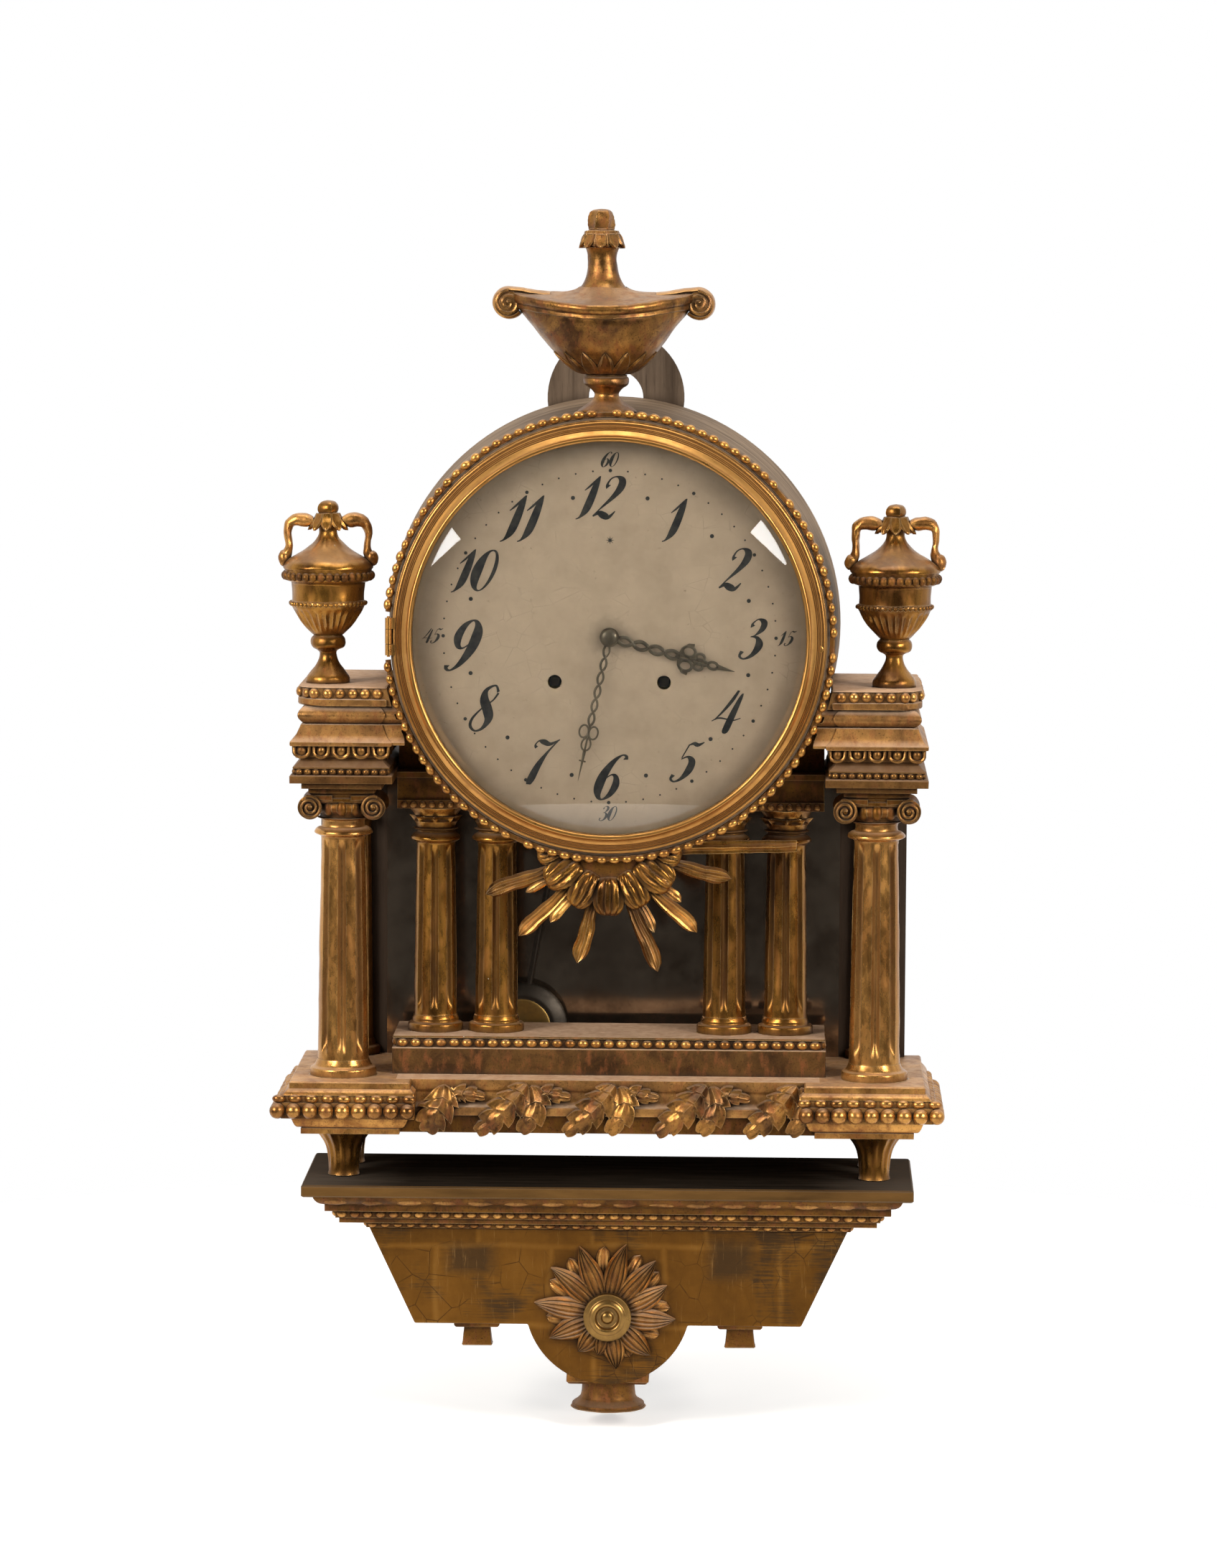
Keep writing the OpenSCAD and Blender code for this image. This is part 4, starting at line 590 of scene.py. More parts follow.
# Dark gilding; on the drops, the tip and the plinth's recess it also stands in for painted shade
DARK = gilt("gilt_dark", (0.2, 0.086, 0.014), (0.08, 0.032, 0.007), 0.7, 0.3, 0.6, 0.4)
# Dark brown gilding, darker still as painted shade under the blocks
CAPITAL = gilt("gilt_capital", (0.15, 0.062, 0.01), (0.056, 0.022, 0.005), 0.6, 0.2, 0.8, 0.34)
LEDGE = gilt("gilt_ledge", (0.135, 0.066, 0.019), (0.052, 0.024, 0.008), 0.7, 0.98, 0.55, 0.42)
PANEL = leaf_panel("gilt_panel")
SHELF = shelf_paint("shelf_paint")
BARE = wood("bare_wood", (0.33, 0.236, 0.154), (0.12, 0.08, 0.05), (0.5, 5.5, 0.5))
# The back boards are darkened low on their front as painted shade
BACK = wood("back_wood", (0.15, 0.106, 0.072), (0.068, 0.046, 0.03), (5.5, 5.5, 0.28), painted_shade_low=0.82)
BEZEL = metal("bezel_gilt", (0.57, 0.287, 0.08), (0.3, 0.138, 0.035), 0.25, 0.65, reach=3)
BOSS = metal("boss_brass", (0.3, 0.172, 0.052), (0.115, 0.066, 0.024), 0.24, 0.75, reach=3.5)
BRONZE = metal("hand_bronze", (0.19, 0.155, 0.112), (0.09, 0.074, 0.056), 0.4, 0.7)
BRASS = metal("movement_brass", (0.62, 0.45, 0.17), (0.4, 0.27, 0.1), 0.22)
STEEL = metal("movement_steel", (0.36, 0.36, 0.37), (0.2, 0.19, 0.18), 0.25)
BELL = metal("bell_metal", (0.55, 0.43, 0.22), (0.33, 0.24, 0.11), 0.2)
BOB = metal("bob_brass", (0.3, 0.185, 0.055), (0.1, 0.066, 0.028), 0.34, 0.8)
IRON = metal("bob_iron", (0.05, 0.042, 0.034), (0.022, 0.018, 0.015), 0.42, 0.7)
PAINT = dial_paint("dial_paint")
INK = ink("dial_ink")
GLASS = clear_glass("clear_glass")
MIRROR = old_mirror("old_mirror")

# The finish of each CAD node that stays as it is
KEPT = {
    BRASS: ("front_plate", "back_plate", "going_barrel", "strike_barrel", "centre_arbor", "third_wheel",
            "escape_wheel", "back_cock", "cannon_pinion", "minute_wheel", "hour_wheel", "pin_wheel"),
    STEEL: ("plate_pillars", "anchor", "bell_stand", "hammer"),
    IRON: ("pendulum_rod", "going_winding_arbor", "strike_winding_arbor"),
    BEZEL: ("bezel_hinge",),
    BACK: ("bracket_back_board", "bracket_box_boards", "backboard", "seat_board"),
    BARE: ("drum_shell", "drum_front_ring"),
    BELL: ("bell",),
    MIRROR: ("mirror_glass",),
    PAINT: ("dial_plate",),
}
for look, nodes in KEPT.items():
    for node in nodes:
        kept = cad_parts[node].data
        kept.materials.clear()
        kept.materials.append(look)

# The bracket: its shelf, and a stepped cornice with two rows of beads and a worn ribbon
shelf = Span("bracket_shelf")
Shape().stack(box_plan(shelf.x0, shelf.x1, shelf.back, shelf.front, 1.5),
              [(0.8, 0.8, shelf.z0), (0, 0, shelf.z0 + 0.8), (0, 0, shelf.z1 - 1), (1, 1, shelf.z1)]
              ).piece("shelf_board", SHELF, "dark_wood", ("bracket_shelf",), wobble=0.25)

# Height, side setback and front setback of each step, downward from the shelf; beads lie in two of them
CORNICE_ROWS = ((7.5, 6.5, 9.5), (4.5, 14, 17.5), (5.5, 18.5, 22), (3.7, 23, 27), (4.3, 38, 32))
BEADED, BEAD_SEAT, COVE_R = (2, 4), 2.2, 9
cornice = Span("bracket_cornice")
h, s, f = CORNICE_ROWS[0]
profile = [(s + COVE_R * (1 - cos(t)), f + COVE_R * (1 - cos(t)), shelf.z0 - h * sin(t))
           for t in (pi / 2 * i / 6 for i in range(6))]
z = shelf.z0 - h
for i, (h, s, f) in enumerate(CORNICE_ROWS[1:], 1):
    seat = BEAD_SEAT if i in BEADED else 0
    profile += [(s + seat, f + seat, z), (s + seat, f + seat, z - h)]
    z -= h
Shape().stack(box_plan(-shelf.x1, shelf.x1, cornice.back, shelf.front, 0.8), profile
              ).piece("bracket_mouldings", DARK, stands_for=("bracket_cornice",), wobble=0.3)


def cornice_beads(shape, row, deeper, back, z, pitch, r, squash):
    """A row of beads along a step of the cornice."""
    x, d = shelf.x1 - CORNICE_ROWS[row][1] - deeper, shelf.front - CORNICE_ROWS[row][2] - deeper
    bead_sides(shape, -x, x, back, d, z, pitch, r, squash)


made = Shape()
upper_z = shelf.z0 - sum(row[0] for row in CORNICE_ROWS[:2]) - CORNICE_ROWS[2][0] / 2
cornice_beads(made, 2, BEAD_SEAT, 6, upper_z, 8.4, 2.5, 1.35)
cornice_beads(made, 4, BEAD_SEAT, 6, cornice.z0 + CORNICE_ROWS[4][0] / 2, 8.4, 2.1, 1.5)
made.piece("bracket_beads", GILT, wobble=0.25)
made = Shape()
cornice_beads(made, 0, 4, 8, shelf.z0 - CORNICE_ROWS[0][0] * 0.55, 24, 3, 3.4)
made.piece("bracket_ribbon", DULL, wobble=0.8)

# The panel, with sloping ends and a round apron
panel = Span("bracket_front_panel")
PANEL_BOTTOM_HALF, PANEL_BOTTOM_Z, APRON_Z, APRON_R = 126.5, -46, -31.4, 54.3
apron_turn = math.degrees(math.asin((APRON_Z - PANEL_BOTTOM_Z) / APRON_R))
outline = [(panel.x1, panel.z1), (-panel.x1, panel.z1), (-PANEL_BOTTOM_HALF, PANEL_BOTTOM_Z),
           *arc(0, APRON_Z, APRON_R, 180 + apron_turn, 360 - apron_turn, 40),
           (PANEL_BOTTOM_HALF, PANEL_BOTTOM_Z)]
Shape().sheet(outline, panel.back, panel.front
              ).piece("bracket_panel", PANEL, "gilt_panel", ("bracket_front_panel",), bevel=0.8)

# The rosette: rows of grooved petals round a turned boss
boss = Span("rosette_boss")
ROSETTE_Z = (boss.z0 + boss.z1) / 2
# Turn in degrees and reach of the long pointed petals and of the round ones behind them
LONG_PETALS = ((112, 49), (79, 48.5), (49, 48), (24, 43.5), (-5, 44.5), (-44, 38.5), (-79, 36), (-103, 27),
               (-127, 31), (200, 41), (170, 48.5), (138, 48.5))
ROUND_PETALS = ((96, 45), (127, 45), (63, 45), (151, 44), (38, 44), (10, 41), (185, 40), (-24, 36), (-62, 31),
                (-116, 26))


def petal_line(turn, start, reach, droop):
    """A petal's line out from the boss, bent a little to one side and drooping at its tip."""
    bend = random.uniform(-0.09, 0.09)
    found = []
    for t in shares(13):
        a = radians(turn) + bend * (t * t - 0.3)
        r = start + (reach - start) * t
        found.append((r * cos(a), panel.front + droop(t), ROSETTE_Z + r * sin(a)))
    return found


made = Shape()
for turn, reach in ROUND_PETALS:
    made.leaf(petal_line(turn, 14, reach, lambda t: 0.4),
              lambda t: 5.6 * (0.55 + 0.45 * t) * (1 - t**5) ** 0.5 + 0.15, lambda t: 3 - t, sink=0.6)
for turn, reach in LONG_PETALS:
    made.leaf(petal_line(turn, 11, reach, lambda t: 1.4 + 2.4 * sin(pi * (0.1 + 0.7 * t))),
              lambda t: 7.4 * sin(pi * (0.2 + 0.8 * t)) ** 0.85 + 0.15,
              lambda t: 5.4 * sin(pi * (0.2 + 0.65 * t)), ribs=5, sink=1.8, across=17)
made.move(lambda x, d, z: (x, max(d, panel.front - 0.3), z))
made.piece("rosette_petals", GILT, stands_for=("bracket_rosette",), wobble=0.35)

# The boss's radius and setback from its front
BOSS_PROFILE = ((15.6, 3.2), (15, 2.2), (12.2, 1.8), (11.4, 1), (10.2, 0.2), (9, 0), (7.9, 0.6), (7, 2.4),
                (6.6, 3.4), (4.4, 3.2), (3.8, 2.6), (2.6, 1.6), (0, 1.2))
boss_line = spline([(15.6, panel.front)] + [(r, boss.front - h) for r, h in BOSS_PROFILE], 3)
Shape().disc(boss_line, (0, 0, ROSETTE_Z), 56
             ).piece("rosette_button", BOSS, "boss_brass", ("rosette_boss",), wobble=0.1)

# The drops under the bracket, stepped in from a square block
drops = Span("bracket_drops")
DROP_X, DROP_HALF = 86.5, 15
DROP_STEPS = between(drops.z1, ((0.6, 0), (0, 1), (0.2, 3.6), (1.2, 5), (6.4, 5.4), (6, 10)),
                     drops.z0, ((5.3, 1.5), (4.9, 0.6), (5.4, 0)))
made = Shape()
for x in (-DROP_X, DROP_X):
    made.stack(box_plan(x - DROP_HALF, x + DROP_HALF, drops.back, drops.front, 1, True),
               [(i, i, z) for i, z in DROP_STEPS])
# Dark gilding, here also painted shade under the bracket
made.piece("bracket_side_drops", DARK, stands_for=("bracket_drops",), wobble=0.3)
drop = Span("bracket_end_drop")
TIP_D, TIP_STEPS = 66, ((1, 0.5, 0), (0, 0, 1), (0, 0, 7), (1.5, 1.5, 8.6), (4, 4, 9))
TIP_LINE = between(drop.z1, ((0, 8), (19, 8), (19, 8), (17.6, 9.4), (17.2, 11)), drop.z0,
                   ((18, 8), (20.2, 5), (23, 3.2), (23.8, 2.4), (23.8, 0.6), (23, 0), (0, 0)))
made = Shape()
made.stack(box_plan(drop.x0, drop.x1, drop.back, drop.front, 1.5, True),
           [(side, front, drop.z1 - h) for side, front, h in TIP_STEPS])
made.lathe(spline(TIP_LINE, 3), (0, TIP_D, 0))
# Dark gilding, here also painted shade under the bracket
made.piece("bracket_tip", DARK, stands_for=("bracket_end_drop",), wobble=0.3)

# The trumpet feet
feet = Span("feet")
FOOT_X, FOOT_DEPTHS, FOOT_FLUTES = 173.5, (82, 34), 14
FOOT_LINE = spline(between(
    feet.z1, ((0, 0), (20, 0), (20, 2.4), (19.2, 4.4), (16.4, 8), (13.4, 12.5), (11.4, 18)),
    feet.z0, ((10.3, 9), (9.9, 3), (9.6, 0), (0, 0))), 3)


def foot_flutes(t, r, h):
    share = clamp((h - feet.z0 - 3) / 10) * clamp((feet.z1 - 3.2 - h) / 3)
    return r * (1 - 0.075 * share * (0.5 + 0.5 * cos(FOOT_FLUTES * t)))


made = Shape()
for x in (-FOOT_X, FOOT_X):
    for d in FOOT_DEPTHS:
        made.lathe(FOOT_LINE, (x, d, 0), 84, foot_flutes)
made.piece("trumpet_feet", DEEP, stands_for=("feet",), wobble=0.2)

# The plinth: corner blocks of steps. Each row is its height, side setback and front setback
plinth = Span("base_plinth")
PLINTH_HALF, PLINTH_D, CORNER_X, CORNER_SET = 205, 138, 124, 3
PLINTH_ROWS = ((4.4, 7, 4), (6.6, 1, 0), (10.3, -7, -5), (4.8, -6, -4.5), (4, -3, -3), (4.5, 0, 0))


def plinth_profile():
    z = plinth.z0
    found = []
    for i, (h, side, front) in enumerate(PLINTH_ROWS):
        if i == 1:
            line = [(3.5 - 3.5 * t, 3.5 - 3.5 * t, h * t**1.6) for t in (0, 0.3, 0.6, 0.85, 1)]
        elif i in (2, 3):
            seat = 1.5 if i == 2 else 2.2
            line = [(seat, seat, 0), (seat, seat, h)]
        elif i == 4:
            line = [(-1, -0.5, 0), (0, 0, h * 0.4), (2.4, 2.4, h)]
        else:
            line = [(0, 0, 0), (0, 0, h - 0.8), (0.8, 0.8, h)]
        found += [(side + s, front + f, z + up) for s, f, up in line]
        z += h
    return found


made = Shape()
for side in SIDES:
    low, high = sorted((side * CORNER_X, side * PLINTH_HALF))

    def corner_plan(setback, front, low=low, high=high, side=side):
        inner = max(setback, -CORNER_SET) + CORNER_SET
        x0, x1 = low + (setback if side < 0 else inner), high - (setback if side > 0 else inner)
        return box_plan(x0, x1, plinth.back, PLINTH_D - front, 0.9)(0, 0)
    made.stack(corner_plan, plinth_profile())
made.piece("plinth_corners", GILT, stands_for=("base_plinth",), wobble=0.3)

# Two rows of pearls round the corner blocks
PEARL_R, PEARL_PITCH = 5.2, 10.5
PEARL_X, PEARL_D = PLINTH_HALF + 7.4, PLINTH_D + 5
PEARL_Z = plinth.z0 + sum(row[0] for row in PLINTH_ROWS[:2]) + PLINTH_ROWS[2][0] / 2
SMALL_Z = plinth.z1 - sum(row[0] for row in PLINTH_ROWS[4:]) - PLINTH_ROWS[3][0] / 2
FRONT_PEARLS, SIDE_PEARLS = 9, 12
pearls, small = Shape(), Shape()
for side in SIDES:
    for i in range(FRONT_PEARLS + SIDE_PEARLS):
        along_side = i >= FRONT_PEARLS
        x = side * (PEARL_X if along_side else PEARL_X - i * PEARL_PITCH)
        d = PEARL_D - (i - FRONT_PEARLS + 1) * PEARL_PITCH if along_side else PEARL_D
        r = PEARL_R * random.uniform(0.95, 1)
        pearls.ball((x, d, PEARL_Z), r, r, r, 18, 12)
        if along_side:
            small.ball((x - side * 3.2, d - 1, SMALL_Z), 3, 4.4, 3, 12, 8)
        else:
            small.ball((x - side, d - 2.4, SMALL_Z), 4.4, 3, 3, 12, 8)
pearls.piece("plinth_pearl_rows", PEARL, stands_for=("plinth_pearls",), wobble=0.2)
small.piece("plinth_small_beads", PEARL, wobble=0.4)

# The plinth's middle: a recess, a rail for the leaves and a cove, with the pendulum's slot behind
RAIL_D, COVE_D, SLOT_BACK, SLOT_FRONT, SLOT_HALF, SLOT_Z = 130, 121, 13, 31, 100, 98
MIDDLE_HALF = CORNER_X + 13
front_line = spline([(122, plinth.z0), (122, 94), (122.6, 97.4), (122.6, 97.4), (RAIL_D - 1, 98),
                     (RAIL_D, 99.2), (RAIL_D, 102.4), (RAIL_D - 1, 103.8), (RAIL_D - 1, 103.8),
                     (125.4, 104.4), (122.6, 107.4), (COVE_D, 113), (COVE_D, 113), (COVE_D + 0.6, 114.6),
                     (COVE_D + 0.6, 119.8), (COVE_D, plinth.z1)], 3)
front_line = [(SLOT_FRONT, plinth.z0)] + front_line + [(SLOT_FRONT, plinth.z1)]
made = Shape()
made.grid([[(x, d, z) for d, z in front_line] for x in (-MIDDLE_HALF, MIDDLE_HALF)], caps=True)
made.block(-MIDDLE_HALF, MIDDLE_HALF, plinth.back, SLOT_BACK, plinth.z0, plinth.z1, 0.3)
made.block(-MIDDLE_HALF, MIDDLE_HALF, SLOT_BACK, SLOT_FRONT, plinth.z0, SLOT_Z)
for x0, x1 in ((-MIDDLE_HALF, -SLOT_HALF), (SLOT_HALF, MIDDLE_HALF)):
    made.block(x0, x1, SLOT_BACK, SLOT_FRONT, SLOT_Z, plinth.z1)
made.piece("plinth_middle", DULL, wobble=0.15)
# The recess takes the dark gilding as painted shade
Shape().block(-MIDDLE_HALF, MIDDLE_HALF, 120, 122.7, plinth.z0, 97.2
              ).piece("plinth_recess", DARK, wobble=0.15)

# Five acanthus sprays wound along the rail. A leaf is its line, as X from the spray's middle, depth over the
# rail and Z; then its width, rise and lobes
LEAF_XS = (-113, -63, -6, 53, 111)
END_SPRAY = ((((9, -2, 107), (16, -1.5, 112), (24, -2, 112), (34, -3, 110)), 6, 4.6, 4),
             (((8, -1, 118), (6, 1.2, 108), (1, 2, 98), (-3, 0, 87.5)), 13, 6, 4))
SPRAY = ((((15, -2, 107), (22, -1.5, 113), (29, -2, 112), (39, -3, 110)), 6, 4.6, 4),
         (((14, -1, 118), (17, 0.8, 108), (14, 1.5, 98), (7, 0, 88)), 10, 5.4, 3),
         (((11, -1, 119), (4, 1.5, 110), (-8, 2, 98.5), (-21, 0.2, 87.5)), 11.6, 6.2, 5))


def spray_leaf(shape, x, points, width, rise, lobes):
    shape.leaf(spline([(x + u, RAIL_D + d, z) for u, d, z in points], 10),
               lambda t: width * sin(pi * (0.16 + 0.8 * t)) ** 0.8,
               lambda t: rise * sin(pi * (0.2 + 0.7 * t)) * (0.82 + 0.18 * (lobes * t % 1)),
               2, lobes, sweep=0.45, sink=4.5)


made = Shape()
for x in LEAF_XS:
    for leaf in (END_SPRAY if x == LEAF_XS[0] else SPRAY):
        spray_leaf(made, x, *leaf)
made.move(lambda x, d, z: (x, max(d, COVE_D - 1), min(z, plinth.z1 - 1)))
made.piece("plinth_acanthus", LAMP, stands_for=("plinth_leaves",), wobble=0.45)

# The inner plinth with its row of barrel beads
inner = Span("inner_plinth")
BEAD_BED = 2.6
INNER_STEPS = ((0, 8.4), (0, 8), (BEAD_BED, 7.6), (BEAD_BED, 1.6), (0.4, 1.2), (0.8, 0))
Shape().stack(box_plan(inner.x0, inner.x1, inner.back, inner.front, 0.8),
              [(0, 0, inner.z0)] + [(i, i, inner.z1 - h) for i, h in INNER_STEPS]
              ).piece("inner_plinth_block", LEDGE, stands_for=("inner_plinth",), wobble=0.25)
made = Shape()
bead_sides(made, inner.x0 + BEAD_BED, inner.x1 - BEAD_BED, inner.back + 2, inner.front - BEAD_BED,
           inner.z1 - 4.6, 8.4, 3, 1.25)
made.piece("inner_plinth_beads", GILT, wobble=0.25)

# Columns
FLUTES, FLUTE_EDGE, FLUTE_END = 8, 0.3, 6


def fluted(depth, low, high):
    """Flutes cut into a shaft between two heights, with rounded ends."""
    def carve(t, r, h):
        share = clamp((h - low) / FLUTE_END) * clamp((high - h) / FLUTE_END)
        wave = sqrt(max(cos(FLUTES * (t - pi / 2)) - FLUTE_EDGE, 0) / (1 - FLUTE_EDGE))
        return r - depth * sqrt(share) * wave
    return carve


def column_profile(z0, z1, base_r, shaft_r, top_r, ring_r, neck_r, ring_z):
    """An upright profile: torus base, slightly swelling shaft, ring and neck."""
    base = [(0, 0), (base_r, 0), (base_r, 0), (base_r, 3), (base_r - 0.4, 5), (base_r - 2.6, 6.2),
            (shaft_r + 1.2, 8.2), (shaft_r + 0.3, 10.5)]
    swell = [(shaft_r + (top_r - shaft_r) * t**1.4, z0 + 12 + (ring_z - z0 - 14) * t)
             for t in (0, 0.15, 0.3, 0.45, 0.6, 0.75, 0.9, 1)]
    ring = [(top_r + 0.8, 0), (ring_r, 1.6), (ring_r, 3.4), (ring_r - 1.8, 5.2), (neck_r, 6.4)]
    neck = [(neck_r, z1 - 1.5), (neck_r + 2, z1), (0, z1)]
    return spline([(r, z0 + h) for r, h in base] + swell + [(r, ring_z + h) for r, h in ring] + neck, 4)


columns, rear = Span("front_columns"), Span("rear_half_columns")
COLUMN_X, COLUMN_D = 172.5, 102
made, behind = Shape(), Shape()
for x in (-COLUMN_X, COLUMN_X):
    z0, z1 = columns.z0, columns.z1
    made.lathe(column_profile(z0, z1, 21.5, 16.5, 14.35, 18.5, 14, z0 + 156.2), (x, COLUMN_D, 0), 144,
               fluted(3.2, z0 + 16, z0 + 153))
    z0, z1 = rear.z0, rear.z1
    behind.lathe(column_profile(z0, z1, 18, 13.5, 12, 15, 12, z0 + 156), (x, rear.back, 0), 40,
                 fluted(1.6, z0 + 16, z0 + 153), sweep=(0, 180))
made.piece("fluted_columns", COLUMN, stands_for=("front_columns",), wobble=0.3)
behind.piece("rear_columns", DARK, stands_for=("rear_half_columns",), wobble=0.3)

# The drum is a cone between these radii, from its back to its front
DRUM_BACK_R, DRUM_FRONT_R, DRUM_BACK, DRUM_FRONT = 149, 140.5, 8, 134


def drum_r(d):
    return DRUM_FRONT_R + (DRUM_FRONT - d) * (DRUM_BACK_R - DRUM_FRONT_R) / (DRUM_FRONT - DRUM_BACK)


def beyond(r, off):
    """How far a circle of this radius reaches, off its middle."""
    return sqrt(max(r * r - off * off, 0))


def under_drum(x, d, z):
    """The point, or the point below it that just clears the drum."""
    r = drum_r(d) + 0.4
    return (x, d, min(z, DRUM_Z - beyond(r, x)) if abs(x) < r else z)


# The inner columns, each with a collar of leaves
inner_cols = Span("inner_columns")
INNER_XS, INNER_D, LEAVES, LEAF_CUT, CAP_H = (-114.5, -74.5, 74.5, 114.5), 68, 8, 3, 14
z0, z1 = inner_cols.z0, inner_cols.z1
cap = z1 - CAP_H
shaft = fluted(2.8, z0 + 16, cap - 12)


def inner_carve(t, r, h):
    return shaft(t, r, h) - LEAF_CUT * (abs(sin(LEAVES * t / 2)) ** 0.7 if cap + 5 <= h <= cap + 8.4 else 0)


COLLAR = ((12.4, 0), (13.4, 3), (16.4, 7), (17.4, 8), (14.4, 8.6), (15.6, 11), (17, 13), (16, CAP_H),
          (0, CAP_H))
profile = column_profile(z0, cap, 18, 14, 12.5, 16, 12.2, cap - 9)[:-4]
profile += spline([(r, cap + h) for r, h in COLLAR], 3)
made = Shape()
for x in INNER_XS:
    made.lathe(profile, (x, INNER_D, 0), 144, inner_carve)
made.move(under_drum).piece("colonnade_columns", DEEP, stands_for=("inner_columns",), wobble=0.25)

# The beam over the inner columns, cut out round the drum, with beads along its foot. Each row is its height
# and front setback
beam = Span("entablature_beam")
BEAM_ROWS, BEAM_X, BEAM_BACK, BEAM_FRONT, FRIEZE_FRONT = ((5.4, 1), (14.6, 3), (3.9, 0)), 138.8, 38, 86, 66
BEADS_X, BEADS_R = 137, 145
levels, z = [], beam.z0
for h, inset in BEAM_ROWS:
    levels += [(z + h * k, BEAM_FRONT - inset) for k in shares(4)]
    z += h
levels += [(z + (beam.z1 - z) * k, FRIEZE_FRONT) for k in shares(8)]
made, beads = Shape(), Shape()
for side in SIDES:
    rows = []
    for z, front in levels:
        ends = [side * max(beyond(drum_r(d) + 0.6, DRUM_Z - z), 40) for d in (front, BEAM_BACK)]
        rows.append([(side * BEAM_X, BEAM_BACK, z), (side * BEAM_X, front, z), (ends[0], front, z),
                     (ends[1], BEAM_BACK, z)])
    made.grid(rows, caps=True)
    low, high = sorted((side * BEADS_X, side * beyond(BEADS_R, DRUM_Z - beam.z0 - 2)))
    bead_line(beads, *((x, BEAM_FRONT - 0.6, beam.z0 + 2.4) for x in (low, high)), 6.2, (2.4, 2, 2.3))
made.piece("beam", DARK, stands_for=("entablature_beam",), wobble=0.2)
beads.piece("beam_beads", DULL, wobble=0.3)

# Ionic capitals: an echinus with three eggs, a slab, and two volutes joined across the top
capitals = Span("ionic_capitals")
VOLUTE_X, VOLUTE_R, VOLUTE_Z, VOLUTE_FRONT, SLAB_HALF = 20.4, 7.8, 296.7, COLUMN_D + 20, 21.5
VOLUTE_START, VOLUTE_TURN, VOLUTE_WIRE = 20, 800, 0.95
ECHINUS = spline([(0, 289), (13.8, 289), (15.5, 291.5), (18.5, 294), (18.8, 297), (16, 299.5), (0, 299.5)], 3)
CAPITAL_STEPS = ((2.5, 299), (0.8, 300.2), (0.8, 302.4), (1.8, 303), (1.8, 304.6), (0, 306.2),
                 (0, capitals.z1))
# Setback from the volute's radius, and distance behind its face
VOLUTE_DRUM = ((0, 40), (0, 38.6), (1.6, 34), (2.2, 20), (1.6, 6), (0, 1.4), (0, 0.4), (0.5, 0))
volute_drum = [(0, -40)] + [(VOLUTE_R - i, -h) for i, h in VOLUTE_DRUM] + [(0, 0)]
made = Shape()
for x in (-COLUMN_X, COLUMN_X):
    made.lathe(ECHINUS, (x, COLUMN_D, 0))
    for n in (-1, 0, 1):
        made.ball((x + 8.6 * n, COLUMN_D + 17.2 - abs(n) * 2.4, 295.8), 3.5, 3.6, 5, 14, 10)
    made.stack(box_plan(x - SLAB_HALF, x + SLAB_HALF, COLUMN_D - 19.5, COLUMN_D + 19.5, 1, True),
               [(i, i, z) for i, z in CAPITAL_STEPS])
    for side in SIDES:
        cx = x + side * VOLUTE_X
        made.disc(volute_drum, (cx, VOLUTE_FRONT, VOLUTE_Z), 40)
        spiral = []
        for t in shares(55):
            turn = radians(90 - side * (VOLUTE_START - VOLUTE_TURN * t))
            r = (VOLUTE_R - 1.3) * (1 - t) ** 0.9 + 1.1
            spiral.append((cx + r * cos(turn), VOLUTE_FRONT + 0.2 + 1.1 * t, VOLUTE_Z + r * sin(turn)))
        made.tube(spiral, 8, lambda i: (VOLUTE_WIRE, VOLUTE_WIRE))
        made.ball((cx, VOLUTE_FRONT + 0.8, VOLUTE_Z), 1.8, 1.4, 1.8)
        made.sheet([(cx - side * 2, VOLUTE_Z + VOLUTE_R - 2.4), (x + side * 6, 301), (x + side * 6, 304.4),
                    (cx - side * 2, VOLUTE_Z + VOLUTE_R)], VOLUTE_FRONT - 6, VOLUTE_FRONT - 0.6)
made.piece("volute_capitals", CAPITAL, stands_for=("ionic_capitals",), wobble=0.25)

# Entablature blocks. Each row is its height and setback: soffit, fascia, beads, cove, eggs, cornice, cyma and
# half-round; a slab with one round corner lies on top
BLOCK_X0, BLOCK_X1, BLOCK_D = 139, 205, 136
BLOCK_ROWS = ((4.1, 7), (5.1, 0), (4.4, 1.5), (7, 7), (8.5, 2), (5, 0), (8.1, 4), (11.6, 5))
SLAB_H, SLAB_INSET, SLAB_CORNER = 12.2, 4, 18
SLAB_ROWS = ((0.6, 0), (0, 1), (0, 4.2), (1.8, 4.6), (1.8, 11.2), (0.3, 11.6), (1.2, SLAB_H))
levels, z = [], blocks.z0
for h, inset in BLOCK_ROWS:
    levels.append((z, z + h, inset))
    z += h
slab_z = z


